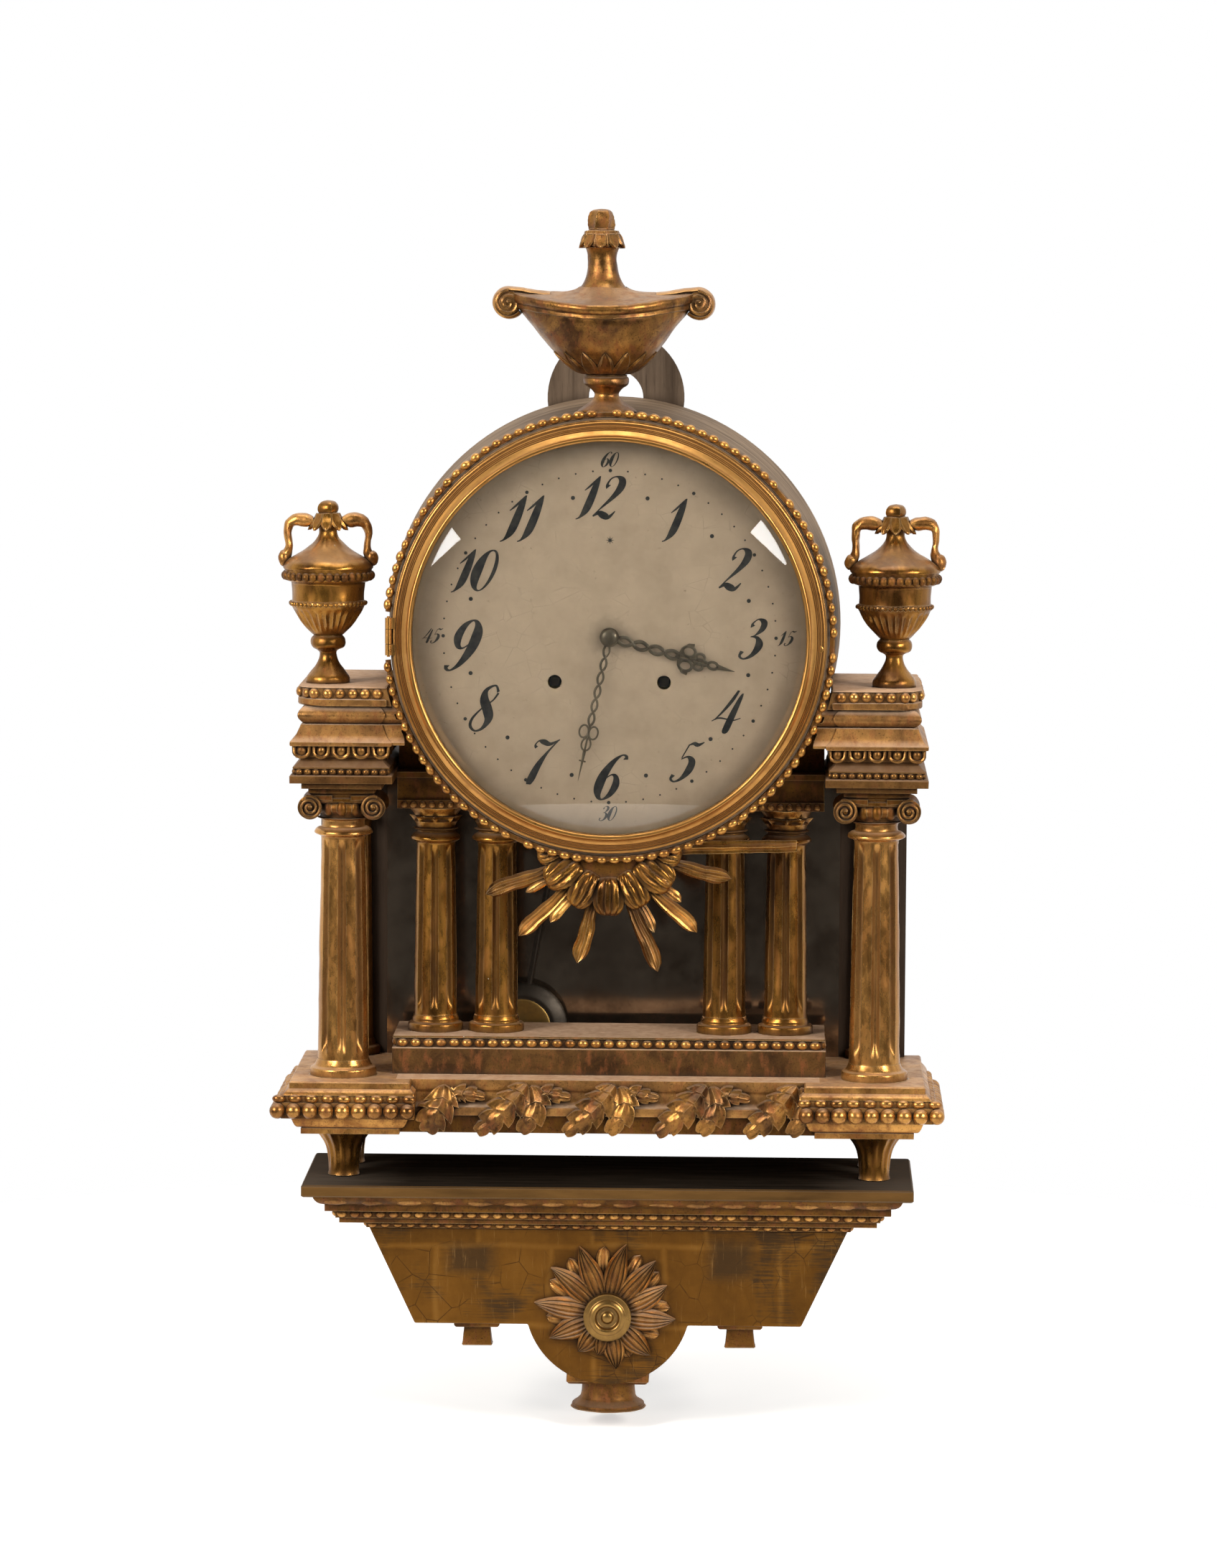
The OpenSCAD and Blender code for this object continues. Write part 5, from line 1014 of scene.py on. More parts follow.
def block_profile():
    soffit, fascia, beads, cove, eggs, cornice, cyma, half_round = levels
    line = [(soffit[2], soffit[0]), (soffit[2], soffit[1]), (fascia[2], fascia[0]),
            (fascia[2], fascia[1] - 0.6), (fascia[2] + 0.6, fascia[1]), (beads[2] + 2.6, beads[0]),
            (beads[2] + 2.6, beads[1]), (beads[2] + 0.4, cove[0]), (beads[2] + 0.4, cove[0] + 0.8)]
    line += [(cove[2] - 5 * (1 - sin(pi / 2 * t)), cove[0] + 1 + 6 * t) for t in (0.1, 0.3, 0.55, 0.8, 1)]
    line += [(eggs[2] + 3.2, eggs[0]), (eggs[2] + 3.2, eggs[1] - 1.2)]
    line += [(cornice[2] + i, cornice[0] + h) for i, h in ((0.4, -0.8), (0, 0), (0, 1.6), (0.9, 2.4))]
    slope = cyma[1] - cornice[0] - 2.6
    line += [(cornice[2] + 1.2 + 5.6 * t**0.7, cornice[0] + 2.6 + slope * t)
             for t in (0, 0.2, 0.4, 0.6, 0.8, 0.94)]
    line += [(half_round[2] + 4.2 - 4.6 * sin(pi * t) ** 0.8, half_round[0] - 0.2 + 11.2 * t)
             for t in (0, 0.06, 0.15, 0.3, 0.45, 0.6, 0.75, 0.88, 1)]
    return [(i, i, z) for i, z in line]


FRONT_EGGS, SIDE_EGGS, EGG_INSET = 5, 9, 5


def egg(shape, x, d, z, along, out):
    """An egg in a horseshoe rim; along is 1 on the front, and out is the side that it faces elsewhere."""
    def place(u, v, w):
        return (x + u * along + w * out, d + (w if along else u), z + v)
    shape.ball(place(0, 0.6, 0), 2.9 if along else 3, 3 if along else 2.9, 3.9, 14, 9)
    bow = [place(5 * cos(t), 0.9 + 4.6 * sin(t), 1.2) for t in (radians(200 + 14 * k) for k in range(11))]
    shape.tube([place(-5, 4.4, 1.2)] + bow + [place(5, 4.4, 1.2)], 8, lambda i: (1.1, 1.5))


# Toward the drum each block runs on to here, and clears the drum and its ring of beads
RETURN_X, RETURN_SET, RING_R, RING_BACK = 131, 1.5, 147, 129


def beside_drum(x, d, z):
    """The point, or the point beside it that just clears the drum and its ring of beads."""
    r = drum_r(d) + 0.5
    return (math.copysign(max(abs(x), beyond(max(r, RING_R) if d > RING_BACK else r, z - DRUM_Z)), x), d, z)


profile = block_profile()
front, corner_x = BLOCK_D - SLAB_INSET, BLOCK_X1 - SLAB_INSET - SLAB_CORNER
bead_z = (levels[2][0] + levels[2][1]) / 2
egg_z = (levels[4][0] + levels[4][1]) / 2 - 0.4
bodies, trims, eggs, returns = Shape(), Shape(), Shape(), Shape()
for side in SIDES:
    low, high = sorted((side * BLOCK_X0, side * BLOCK_X1))
    bodies.stack(box_plan(low, high, blocks.back, BLOCK_D, 0.8), profile)
    near, far = sorted((side * RETURN_X, side * (BLOCK_X0 + 9)))
    returns.stack(box_plan(near, far, blocks.back, BLOCK_D - RETURN_SET, 0.1),
                  [(0, i, z) for i, _, z in profile if z >= levels[5][0]])
    returns.block(near, far, blocks.back, front - RETURN_SET, slab_z, slab_z + SLAB_H - 0.5)
    flat = [(BLOCK_X0 + SLAB_INSET, 0), (BLOCK_X1 - SLAB_INSET, 0),
            *arc(corner_x, front - SLAB_CORNER, SLAB_CORNER, 0, 90, 12), (BLOCK_X0 + SLAB_INSET, front)]
    flat = [(side * x, d) for x, d in flat]
    mid_x, mid_d = (sum(p[n] for p in flat) / len(flat) for n in (0, 1))

    def slab_plan(inset, unused, flat=flat, mid_x=mid_x, mid_d=mid_d):
        return [(x - math.copysign(inset, x - mid_x), d - (math.copysign(inset, d - mid_d) if d > 1 else 0))
                for x, d in flat]
    bodies.stack(slab_plan, [(i, 0, slab_z + h) for i, h in SLAB_ROWS])
    rim = [Vector((x, d, slab_z + 7.9)) for x, d in slab_plan(1.8, 0)[1:]]
    for a, b in zip(rim, rim[1:]):
        if (b - a).length > 12:
            bead_line(trims, a, b, 7.3, (3.5, 3.4, 3.5))
    for k in (2, 7, 11):
        trims.ball(rim[k], 3.4, 3.4, 3.5, 10, 6)
    bead_sides(trims, low + 3.4, high - 3.4, 4, BLOCK_D - 3.4, bead_z, 5.6, 2.2, 1.12)
    for k in shares(FRONT_EGGS - 1):
        egg(eggs, low + 7.5 + k * (high - low - 15), BLOCK_D - EGG_INSET, egg_z, 1, 0)
    for x, out in ((low + EGG_INSET, -1), (high - EGG_INSET, 1)):
        for i in range(SIDE_EGGS):
            egg(eggs, x, 9 + i * 14.2, egg_z, 0, out)
returns.move(beside_drum).piece("entablature_returns", DULL, wobble=0.2)
bodies.piece("entablature_mouldings", BLOCK, stands_for=("entablature_blocks",), wobble=0.35)
trims.piece("entablature_beads", TRIM, wobble=0.3)
eggs.piece("entablature_eggs", TRIM, wobble=0.45)

# The depth of the urns and the finial, and the share of a ring leaf's radius that its back keeps
URN_D, BACK_R = 96, 0.86


def ring_leaves(shape, x, z, count, root, tip, width, rise, bow):
    """Pointed leaves round an upright axis; each runs from root to tip, given as radius and height."""
    for t in (tau * i / count + 0.2 for i in range(count)):
        skin = []
        for s in shares(8):
            r, h = root[0] + (tip[0] - root[0]) * s, z + root[1] + (tip[1] - root[1]) * s**bow
            half = width * sin(pi * (0.24 + 0.76 * s)) ** 0.7
            swell = sin(pi * (0.15 + 0.75 * s))
            row = []
            for u in (-1, -0.6, -0.25, 0, 0.25, 0.6, 1):
                out = r + rise * (1 - abs(u)) ** 0.6 * swell + 0.45 * rise * (abs(u) > 0.5)
                turn = t + half * u / r
                row.append((x + out * cos(turn), URN_D + out * sin(turn), h))
            under = [(x + (p - x) * BACK_R, URN_D + (d - URN_D) * BACK_R, h) for p, d, _ in reversed(row)]
            skin.append(row + under)
        shape.grid(skin, caps=True)


# Side urns
urns = Span("side_urns")
URN_X, BOWL_LOW, BOWL_HIGH, KNOB_H = 183, 32, 49, 109.6
URN_PROFILE = spline([(0, 0), (14, 0), (14, 0), (14.3, 1.8), (13.8, 4.2), (11.4, 7.4), (8.2, 11.6), (6, 16),
                      (5.5, 20), (7.6, 21.8), (7.6, 21.8), (10.2, 23), (11.4, 25.6), (11, 28.8), (9.2, 31),
                      (9.2, 31), (11.6, 33), (16.4, 38), (20.2, 43.4), (22.6, 47.8), (23.6, 50), (24.2, 51.4),
                      (23.8, 53), (23.2, 53.6), (23.2, 53.6), (23.2, 59), (23.8, 65.4), (23.8, 65.4),
                      (27, 66.6), (27.8, 69), (28, 73), (29, 74.6), (28.6, 76.6), (26.2, 79.4), (21.2, 82.6),
                      (14, 87), (8.8, 91.6), (6.3, 96), (6, 99.6), (7, 102), (8, 105), (7.4, 108.4),
                      (6.2, KNOB_H), (6.2, KNOB_H), (7.3, 111.8), (7, 114.8), (4.6, 117.2), (0, 118)], 3)


def urn_carve(t, r, h):
    """Gadroons round the bowl and lobes on the knob."""
    if BOWL_LOW < h < BOWL_HIGH:
        ends = min((h - BOWL_LOW) / 5, 1) * min((BOWL_HIGH - h) / 3, 1)
        return r * (1 - 0.085 * (0.5 + 0.5 * cos(26 * t)) * ends)
    if h > KNOB_H:
        return r * (1 - 0.16 * abs(sin(2 * t + 0.8)) ** 0.6)
    return r


# A handle's line from the collar to the rim: distance from the axis, height and half-thickness
HANDLE_LINE = spline([(9.5, 104.6, 2.6), (14, 105, 4.4), (20, 105.4, 4.2), (24.6, 102.6, 3.2), (26, 96, 2.5),
                      (25.4, 89, 2.4), (26.4, 83.6, 3.4), (28.8, 79.6, 4.2), (30.2, 77, 2.2)], 4)
made, trims, straps = Shape(), Shape(), Shape()
for x in (-URN_X, URN_X):
    made.lathe(URN_PROFILE, (x, URN_D, urns.z0), 108, urn_carve)
    ring_leaves(made, x, urns.z0, 9, (6.6, KNOB_H), (12.4, 98.8), 3.9, 1.8, 0.8)
    for shape, count, r, h, size in ((made, 44, 24, 51.6, 1.5), (trims, 34, 27.6, 69.6, 2.9)):
        for t in turns(count):
            worn = random.uniform(0.88, 1) * size
            shape.ball((x + r * cos(t), URN_D + r * sin(t), urns.z0 + h), worn, worn, worn * 1.1, 10, 6)
    for side in SIDES:
        straps.tube([(x + side * u, URN_D, urns.z0 + h) for u, h, _ in HANDLE_LINE], 12,
                    lambda i: (HANDLE_LINE[i][2], 4.6 - 0.03 * i))
        straps.ball((x + side * 28.6, URN_D, urns.z0 + 80.4), 4, 5, 5.2, 14, 9)
made.piece("urn_bodies", DEEP, stands_for=("side_urns",), wobble=0.4)
trims.piece("urn_beads", DARK, wobble=0.4)
straps.piece("urn_straps", GILT, stands_for=("urn_handles",), wobble=0.9)

# The lamp-shaped finial: a round foot, a boat-shaped bowl with two scrolls, and a lid drawn up into a neck
FINIAL_Z, SCROLL_X, SCROLL_H, SCROLL_R = 552.06, 61, 69.2, 9.2
LEAN_SHIFT, LEAN, COIL_TURN, COIL_WIRE = 3.2, 0.036, 760, 1.25
FOOT = spline([(0, 0), (18.6, 0), (18.6, 0), (18.8, 1.6), (15, 4.2), (10.6, 7), (8.2, 10), (8, 12.6),
               (10.6, 15.6), (13.6, 17.6), (14.6, 19.2), (14.6, 21.8), (13.2, 23.4), (12.6, 24.4),
               (0, 24.4)], 4)
NECK = spline([(15.2, 78.4), (12.2, 83), (10.2, 89), (9.4, 95), (9.3, 100), (10.2, 103.6), (11.2, 105),
               (13.6, 106), (13.8, 109), (12.4, 112.6), (9.4, 115.4), (8, 116.2), (8, 116.2), (8.9, 119),
               (8.8, 123.6), (7.4, 127.4), (4.4, 129), (0, 129.3)], 4)
# Reach, height and share of the sheer, up the outside of the bowl, over its rim and along the lid to the neck
BOWL = spline([(12.5, 24, 0), (17.5, 25.6, 0), (25, 30, 0), (32, 37.2, 0.05), (37, 45, 0.15), (40.5, 54, 0.4),
               (43, 62, 0.7), (43.6, 66, 0.85), (43.6, 66, 0.85), (45, 66.8, 0.88), (44.6, 69.6, 0.94),
               (44.6, 69.6, 0.94), (46.4, 71, 1), (47.6, 73.4, 1), (46.6, 75.8, 1), (44.2, 76.4, 1),
               (44.2, 76.4, 1), (36, 76.2, 0.85), (26, 76.8, 0.5), (18.6, 78, 0.12), (15.2, 79.6, 0)], 3)
# A scroll's radius, less than its full one, and its depth off the middle
SCROLL_EDGE = ((2.2, -8.6), (1.2, -7), (1.8, 0), (1.2, 7), (2.2, 8.6))
SCROLL = spline([(0, -9.4), (4.4, -9.2), *((SCROLL_R - i, d) for i, d in SCROLL_EDGE),
                 (4.4, 9.2), (0, 9.4)], 2)
WRAP = spline([(34, 74.6), (43, 75.6), (52, 77.2)], 5)
WRAP += arc(SCROLL_X, SCROLL_H, SCROLL_R - 0.5, 100, -140, 24)


def neck_carve(t, r, h):
    """Lobes round the collar and a twisted flame on top."""
    if 105 < h < 113:
        return r - 2.2 * abs(sin(5 * t)) ** 0.7
    if h > 117:
        return r * (1 - 0.2 * abs(sin(3 * t + 0.9 * (h - 117) / 12)) ** 0.7)
    return r


def boat(t, reach, h, sheer):
    """A point of the bowl or lid: drawn out along X toward the scrolls, the rim hung low in front."""
    draw = abs(cos(t)) ** 4 * sheer
    r = reach + (SCROLL_X - 2 - reach) * draw * max(reach - 26, 0) / 20
    return (r * cos(t), URN_D + 0.97 * reach * sin(t), FINIAL_Z + h - 7.2 * sheer * abs(sin(t)) ** 1.4)


def lean(x, d, z):
    return (x - LEAN_SHIFT - LEAN * (z - FINIAL_Z), d, z)


made, shells = Shape(), Shape()
made.lathe(FOOT, (0, URN_D, FINIAL_Z - 1), 56).lathe(NECK, (0, URN_D, FINIAL_Z), 100, neck_carve)
made.grid([[boat(t, *row) for t in turns(112)] for row in BOWL])
for side in SIDES:
    x, z = side * SCROLL_X, FINIAL_Z + SCROLL_H
    made.disc(SCROLL, (x, URN_D, z), 32)
    for face in (-8.8, 8.8):
        coil = []
        for t in shares(43):
            turn, r = radians(90 - COIL_TURN * t), (SCROLL_R - 1.6) * (1 - t) + 0.8
            coil.append((x + side * r * cos(turn), URN_D + face, z + r * sin(turn)))
        made.tube(coil, 8, lambda i: (COIL_WIRE, COIL_WIRE))
    shells.tube([(side * u, URN_D, FINIAL_Z + h) for u, h in WRAP], 16,
                lambda i: (1.9, 12.5 - 0.35 * min(i, 10)))
ring_leaves(made, 0, FINIAL_Z, 14, (14.4, 24), (32.5, 38.6), 5, 3, 1.35)
ring_leaves(made, 0, FINIAL_Z, 9, (9.4, 115.6), (14, 104.4), 4.4, 2, 0.8)
made.move(lean).piece("finial_lamp", LAMP, stands_for=("lamp_finial",), wobble=0.45)
shells.move(lean).piece("finial_wraps", BRIGHT, stands_for=("finial_scrolls",), wobble=0.3)

# The ring of oval beads round the drum, with gaps for the hinge and where beads are lost
ring = Span("bead_ring")
BEAD_R, BEAD_COUNT, HINGE_HALF, LOST = 143.3, 112, 15.5, (0, 48, 83, 96)
BEAD_LONG, BEAD_WIDE, BEAD_HIGH = 3.7, 2.8, 3
made = Shape()
for i in range(BEAD_COUNT):
    t = tau * (i + 0.5) / BEAD_COUNT + pi / 2
    s, c = sin(t), cos(t)
    x, z = BEAD_R * c, BEAD_R * s
    if i in LOST or (x < 0 and abs(z) < HINGE_HALF):
        continue
    worn = random.uniform(0.86, 1)
    rows = []
    for tilt in (pi * k for k in shares(8)):
        u, girth = BEAD_LONG * worn * cos(tilt), worn * sin(tilt)
        spots = [(BEAD_WIDE * girth * cos(a), BEAD_HIGH * girth * sin(a)) for a in turns(12)]
        rows.append([(x - s * u + c * v, DRUM_FRONT - 0.4 + w, DRUM_Z + z + c * u + s * v) for v, w in spots])
    made.grid(rows)
made.piece("drum_beads", BRIGHT, wobble=0.3)
turn = math.degrees(math.asin(HINGE_HALF / BEAD_R))
BED = ((140.9, ring.back), (143.4, ring.back), (144.4, 132.6), (143.8, 134.2), (141.6, 134.6), (140.9, 134.5),
       (140.9, ring.back))
Shape().lathe(BED, (0, 0, DRUM_Z), 180, upright=False, sweep=(180 + turn, 540 - turn)
              ).piece("drum_bead_bed", DARK, stands_for=("bead_ring",), wobble=0.15)

# The bezel with its hinge knuckles and catch stud. Its mouldings are setback from its rim, and depth
BEZEL_R, OPEN_R, REBATE_R, BEZEL_BACK, BEZEL_FRONT, GLASS_SEAT = 138.4, 126, 128, 134.5, 148, 140
HINGE_X, HINGE_D, PIN_R, KNUCKLE_R, KNUCKLE_H = -141.2, 139, 1.05, 2.2, 7
BEZEL_STEPS = ((0, BEZEL_BACK), (0, BEZEL_BACK), (0, 138.6), (0.3, 139.6), (1.1, 140.1), (1.6, 139.7),
               (1.9, 139.5), (2.3, 140.4), (2.9, 141.3), (3.3, 140.9), (3.9, 141.9), (4.3, 141.5), (5, 142.6),
               (5.4, 142.2), (5.8, 142.9), (7.4, 144.2), (8.7, 145.6), (9.4, 146.9), (9.5, 147.3),
               (9.5, 147.3), (10, BEZEL_FRONT))
profile = [(REBATE_R, BEZEL_BACK)] + [(BEZEL_R - i, d) for i, d in BEZEL_STEPS]
profile += [(OPEN_R + 1.1, BEZEL_FRONT), (OPEN_R + 0.3, 147.3), (OPEN_R, 146.2), (OPEN_R, GLASS_SEAT),
            (OPEN_R, GLASS_SEAT), (REBATE_R, GLASS_SEAT), (REBATE_R, GLASS_SEAT), (REBATE_R, BEZEL_BACK)]
DIAL_AT = (0, 0, DRUM_Z)
made = Shape().disc(spline(profile, 3), DIAL_AT, 180)
for z in (DRUM_Z - 12, DRUM_Z + 5):
    top = z + KNUCKLE_H
    made.lathe([(PIN_R, z), (KNUCKLE_R, z), (KNUCKLE_R, top), (PIN_R, top), (PIN_R, z)],
               (HINGE_X, HINGE_D, 0), 24)
    made.block(HINGE_X + KNUCKLE_R - 0.4, -BEZEL_R + 1.6, HINGE_D - 1.2, HINGE_D + 1.2, z, top, 0.2)
STUD = ((0, 130.5), (1.2, 130.5), (1.2, BEZEL_BACK + 0.2), (0, BEZEL_BACK + 0.2))
BUTTON = spline([(0, 141.4), (1.7, 141.3), (2.6, 141), (2.6, 140.2)], 3)
made.disc(STUD, (134, 0, DRUM_Z), 20)
made.disc(BUTTON, (134.3, 0, DRUM_Z - 6), 20)
made.piece("bezel_mouldings", BEZEL, "bezel_gilt", ("bezel_ring",), "bezel", wobble=0.1, angle=50)

# The domed glass
DOME_R, DOME_RISE, FLANGE_R, GLASS_T, INNER_SHARE = 125.5, 15, 127.8, 2, 0.985
SPHERE_R = (DOME_R**2 + DOME_RISE**2) / (2 * DOME_RISE)


def dome(r):
    return DOME_RISE - SPHERE_R + sqrt(SPHERE_R**2 - r * r)


rings = [DOME_R * sin(pi / 2 * k) for k in shares(20)]
profile = [(FLANGE_R, GLASS_SEAT - GLASS_T), (FLANGE_R, GLASS_SEAT), (DOME_R, GLASS_SEAT)]
profile += [(r, GLASS_SEAT + dome(r)) for r in reversed(rings)]
profile += [(r, GLASS_SEAT - GLASS_T + dome(r)) for r in (k * INNER_SHARE for k in rings)] + profile[:1]
Shape().disc(profile, DIAL_AT, 160
             ).piece("glass_dome", GLASS, "clear_glass", ("bezel_glass",), "bezel", angle=50)

# The garland under the drum: a plain hub and ribbed buds round it
garland = Span("garland")
GARLAND_Z, HUB_R, BEAD_EDGE_R, BUD_GAP, BUD_RIBS, BUD_FRONT = 272, 21, 144.6, 0.8, 10, 134.2
# Turn, reach of its middle, half-length, half-width and rise of each bud, and the lean of its ribs
BUD_ROWS = ((-176, 37, 9, 8.8, 6.5, 0.5), (-152, 33, 13, 10.4, 9, 0.4), (-121, 30.5, 13, 9.6, 9, 0.15),
            (-90, 30.5, 12.6, 11, 11, 0), (-59, 30.5, 12.8, 9.8, 9, -0.15), (-29, 33.5, 13.8, 11, 9, -0.4),
            (-4, 38, 9.5, 9.2, 6.5, -0.5))


def under_beads(x, d, z):
    """The point, or the point below it that just clears the ring of beads."""
    return (x, d, min(z, DRUM_Z - beyond(BEAD_EDGE_R, x)))


def bud_place(x, d, z):
    return (x, min(d, BUD_FRONT), min(z, DRUM_Z - beyond(BEAD_EDGE_R + BUD_GAP, x)))


def turned(turn, along, side, d):
    """A place round the garland's middle, by the distance along a turn and to one side of it."""
    s, c = sin(turn), cos(turn)
    return (along * c - side * s, d, GARLAND_Z + along * s + side * c)


def bud(shape, turn, reach, length, width, rise, lean):
    """A ribbed bud: an egg along its turn, its ribs running lengthwise and leaning to one side."""
    rows = []
    for tilt in (pi * k for k in shares(14)):
        along, girth = -length * cos(tilt), sin(tilt) ** 0.55 if sin(tilt) > 0 else 0
        row = []
        for t in turns(66):
            rib = 1 - 0.32 * abs(cos(BUD_RIBS * (t + lean * along / length) / 2)) ** 4 * sin(tilt)
            row.append(turned(radians(turn), reach + along, width * girth * rib * cos(t),
                              garland.back + 1.5 + rise * girth * rib * sin(t)))
        rows.append(row)
    shape.grid(rows)


made = Shape().sheet(arc(0, GARLAND_Z, HUB_R, 0, -180, 24), garland.back, garland.back + 3.4)
made.move(under_beads).piece("garland_hub", DARK, stands_for=("garland",), wobble=0.3)
made = Shape()
for row in BUD_ROWS:
    bud(made, *row)
made.move(bud_place).piece("garland_buds", DEEP, wobble=0.7)

# Rays behind the garland: turn and reach from its middle; then the long bent bar
rays = Span("sun_rays")
DULL_RAYS, BRIGHT_RAYS = ((-159, 85), (-105, 77.6), (-68, 86.2), (-14, 81.5)), ((-135, 81.5), (-43.5, 78.5))
RAY_D, RAY_ROOT, RAY_NECK = (rays.back + rays.front) / 2 - 1, 23, 2.4


def ray(shape, turn, reach, width=6.3, rise=3):
    line = [turned(radians(turn), RAY_ROOT + (reach - RAY_ROOT) * t, 0.5 * sin(9 * t + turn),
                   RAY_D + 0.5 * sin(5 * t + turn)) for t in shares(17)]

    def half(t):
        tip = (1 - t**9) ** 0.5 * (1 - 0.1 * sin(11 * t) ** 2)
        return (RAY_NECK + (width - RAY_NECK) * t**1.1) * tip + 0.3
    shape.leaf(line, half, lambda t: rise * (1 - 0.4 * t**6), sink=1, sweep=-0.25)


made = Shape()
for turn, reach in DULL_RAYS:
    ray(made, turn, reach)
    if turn in (-159, -68):
        ray(made, turn + 7, reach - 24, 3.6, 1.4)
bar = spline([(x, RAY_D, GARLAND_Z + h) for x, h in ((0, -4), (44, 0.4), (80, 1.4), (121, 2.2))], 8)
made.leaf(bar, lambda t: 4.6 - 0.8 * t, lambda t: 3.4, ribs=2, sink=1)
made.sheet(arc(0, GARLAND_Z, 24, 0, -180, 24), rays.back, rays.front - 0.4)
made.move(under_beads).piece("dull_rays", DEEP, stands_for=("sun_rays",), wobble=0.5)
made = Shape()
for turn, reach in BRIGHT_RAYS:
    ray(made, turn, reach, rise=3.8)
    ray(made, turn + 7, reach - 20, 4.2, 1.6)
made.move(under_beads).piece("bright_rays", BRIGHT, wobble=0.5)

# Numerals drawn with a broad pen: each stroke is points of place and half-width, in hundredths of the height
SIX = ((45, 90, 5.5), (44, 97, 3), (34, 100, 2), (20, 86, 6), (9, 57, 10.5), (8, 28, 10.5), (15, 7, 5),
       (26, 0, 2), (39, 11, 6.5), (44, 31, 8.5), (38, 50, 5), (27, 56, 2), (14, 45, 1.4))
DIGITS = {
    "0": ([(27 + 20 * sin(t), 50 + 48 * cos(t), 1.8 + (10.5 if sin(t) < 0 else 3) * sin(t) ** 2)
           for t in (tau * k for k in shares(16))],),
    "1": (((22, 100, 1.5), (20, 82, 7), (20, 50, 9.5), (18, 20, 9), (10, 3, 3), (2, -2, 1.2)),
          ((-2, 66, 1.2), (8, 78, 3), (21, 98, 2))),
    "2": (((13, 74, 6), (8, 80, 3), (12, 94, 2), (25, 99, 2.2), (39, 90, 7.5), (42, 72, 9.5), (32, 50, 6),
           (12, 22, 2), (2, 6, 1.8)),
          ((2, 5, 2), (13, 13, 5), (27, 7, 7.5), (40, 3, 5), (50, 17, 1.4))),
    "3": (((12, 80, 5.5), (9, 88, 2.6), (20, 99, 2), (36, 91, 7), (38, 75, 7.5), (26, 59, 2), (16, 55, 1.4)),
          ((18, 56, 1.6), (34, 52, 4), (45, 32, 10), (37, 10, 6), (20, 0, 2.2), (7, 7, 3), (9, 19, 5.5))),
    "4": (((42, 93, 2), (40, 80, 5), (36, 40, 8), (34, 8, 8), (33, 0, 3)),
          ((30, 100, 3), (23, 76, 4.5), (11, 50, 3), (0, 33, 1.4)),
          ((-6, 29, 1.2), (8, 36, 2), (30, 33, 1.4), (44, 31, 1.6), (58, 36, 1.2))),
    "5": (((20, 93, 1.6), (30, 97, 4), (42, 93, 4.5), (55, 100, 1.4)), ((20, 95, 2), (13, 60, 1.6)),
          ((13, 57, 1.6), (28, 63, 3), (42, 50, 8.5), (42, 28, 10), (31, 8, 5), (16, 0, 2.2), (5, 7, 3),
           (8, 17, 5.5))),
    "6": (SIX,),
    "7": (((7, 82, 3.5), (2, 88, 2), (7, 97, 2), (18, 95, 5.5), (34, 90, 4), (52, 100, 1.4)),
          ((49, 97, 1.4), (35, 72, 3), (25, 42, 7.5), (21, 12, 8.8), (20, 0, 5))),
    "8": (((41, 84, 3), (30, 98, 2), (14, 88, 5), (16, 69, 8.5), (31, 47, 9.5), (42, 26, 8.5), (36, 6, 4),
           (22, 0, 2), (8, 11, 3), (7, 28, 3), (20, 50, 1.8), (36, 66, 2), (42, 82, 2.6)),),
    "9": ([(50 - x, 100 - y, w) for x, y, w in SIX],),
}
SLANT, WIDTH, NARROW = 0.38, 0.54, {"1": 0.38}
MINUTE_H, MINUTE_R, RAIL_R, DOT_R, STAR_R, STAR_POINTS = 9.5, 113.5, 106.5, 92, 62, 8
# Where each hour is painted, from the dial's middle, and its height
HOURS = ((43, 75.4, 27), (81, 44, 26.8), (92.5, -0.5, 25.7), (77, -47.6, 27.8), (49.3, -79.9, 25.4),
         (1.3, -90.2, 28.6), (-44.1, -80.7, 29), (-79, -46, 29.8), (-92.2, -6, 32), (-84.5, 42.1, 27),
         (-54.3, 75.8, 29), (-4.9, 89.4, 27))
# The ink's underside is sunk in the dial, and a later stroke of a digit lies over an earlier one
INK_BACK, INK_FRONT, INK_STEP = DIAL_FRONT - 0.05, DIAL_FRONT + 0.12, 0.012


def write(shape, text, x, z, height):
    """Upright slanted digits, centred on a point of the dial."""
    widths = [NARROW.get(digit, WIDTH) for digit in text]
    pen = -sum(widths) / 2
    for digit, wide in zip(text, widths):
        for n, stroke in enumerate(DIGITS[digit]):
            line = spline([tuple(k / 100 for k in mark) for mark in stroke], 6)
            lift = INK_FRONT + INK_STEP * n
            rows = []
            for i, (u, v, w) in enumerate(line):
                a, b = line[max(i - 1, 0)], line[min(i + 1, len(line) - 1)]
                run = math.hypot(b[0] - a[0], b[1] - a[1]) or 1
                nx, ny = (a[1] - b[1]) / run, (b[0] - a[0]) / run
                sides = [(u + k * nx * w, v + k * ny * w) for k in SIDES]
                (x0, z0), (x1, z1) = [(x + height * (pen + p + SLANT * (q - 0.5)), z + height * (q - 0.5))
                                      for p, q in sides]
                rows.append([(x0, INK_BACK, z0), (x0, lift, z0), (x1, lift, z1), (x1, INK_BACK, z1)])
            shape.grid(rows, caps=True)
        pen += wide


def on_dial(minute, r):
    turn = radians(6 * minute)
    return (r * sin(turn), DRUM_Z + r * cos(turn))


def dot(shape, minute, place_r, r):
    x, z = on_dial(minute, place_r)
    shape.disc([(0, INK_FRONT), (r, INK_FRONT), (r, INK_BACK)], (x, 0, z), 10)


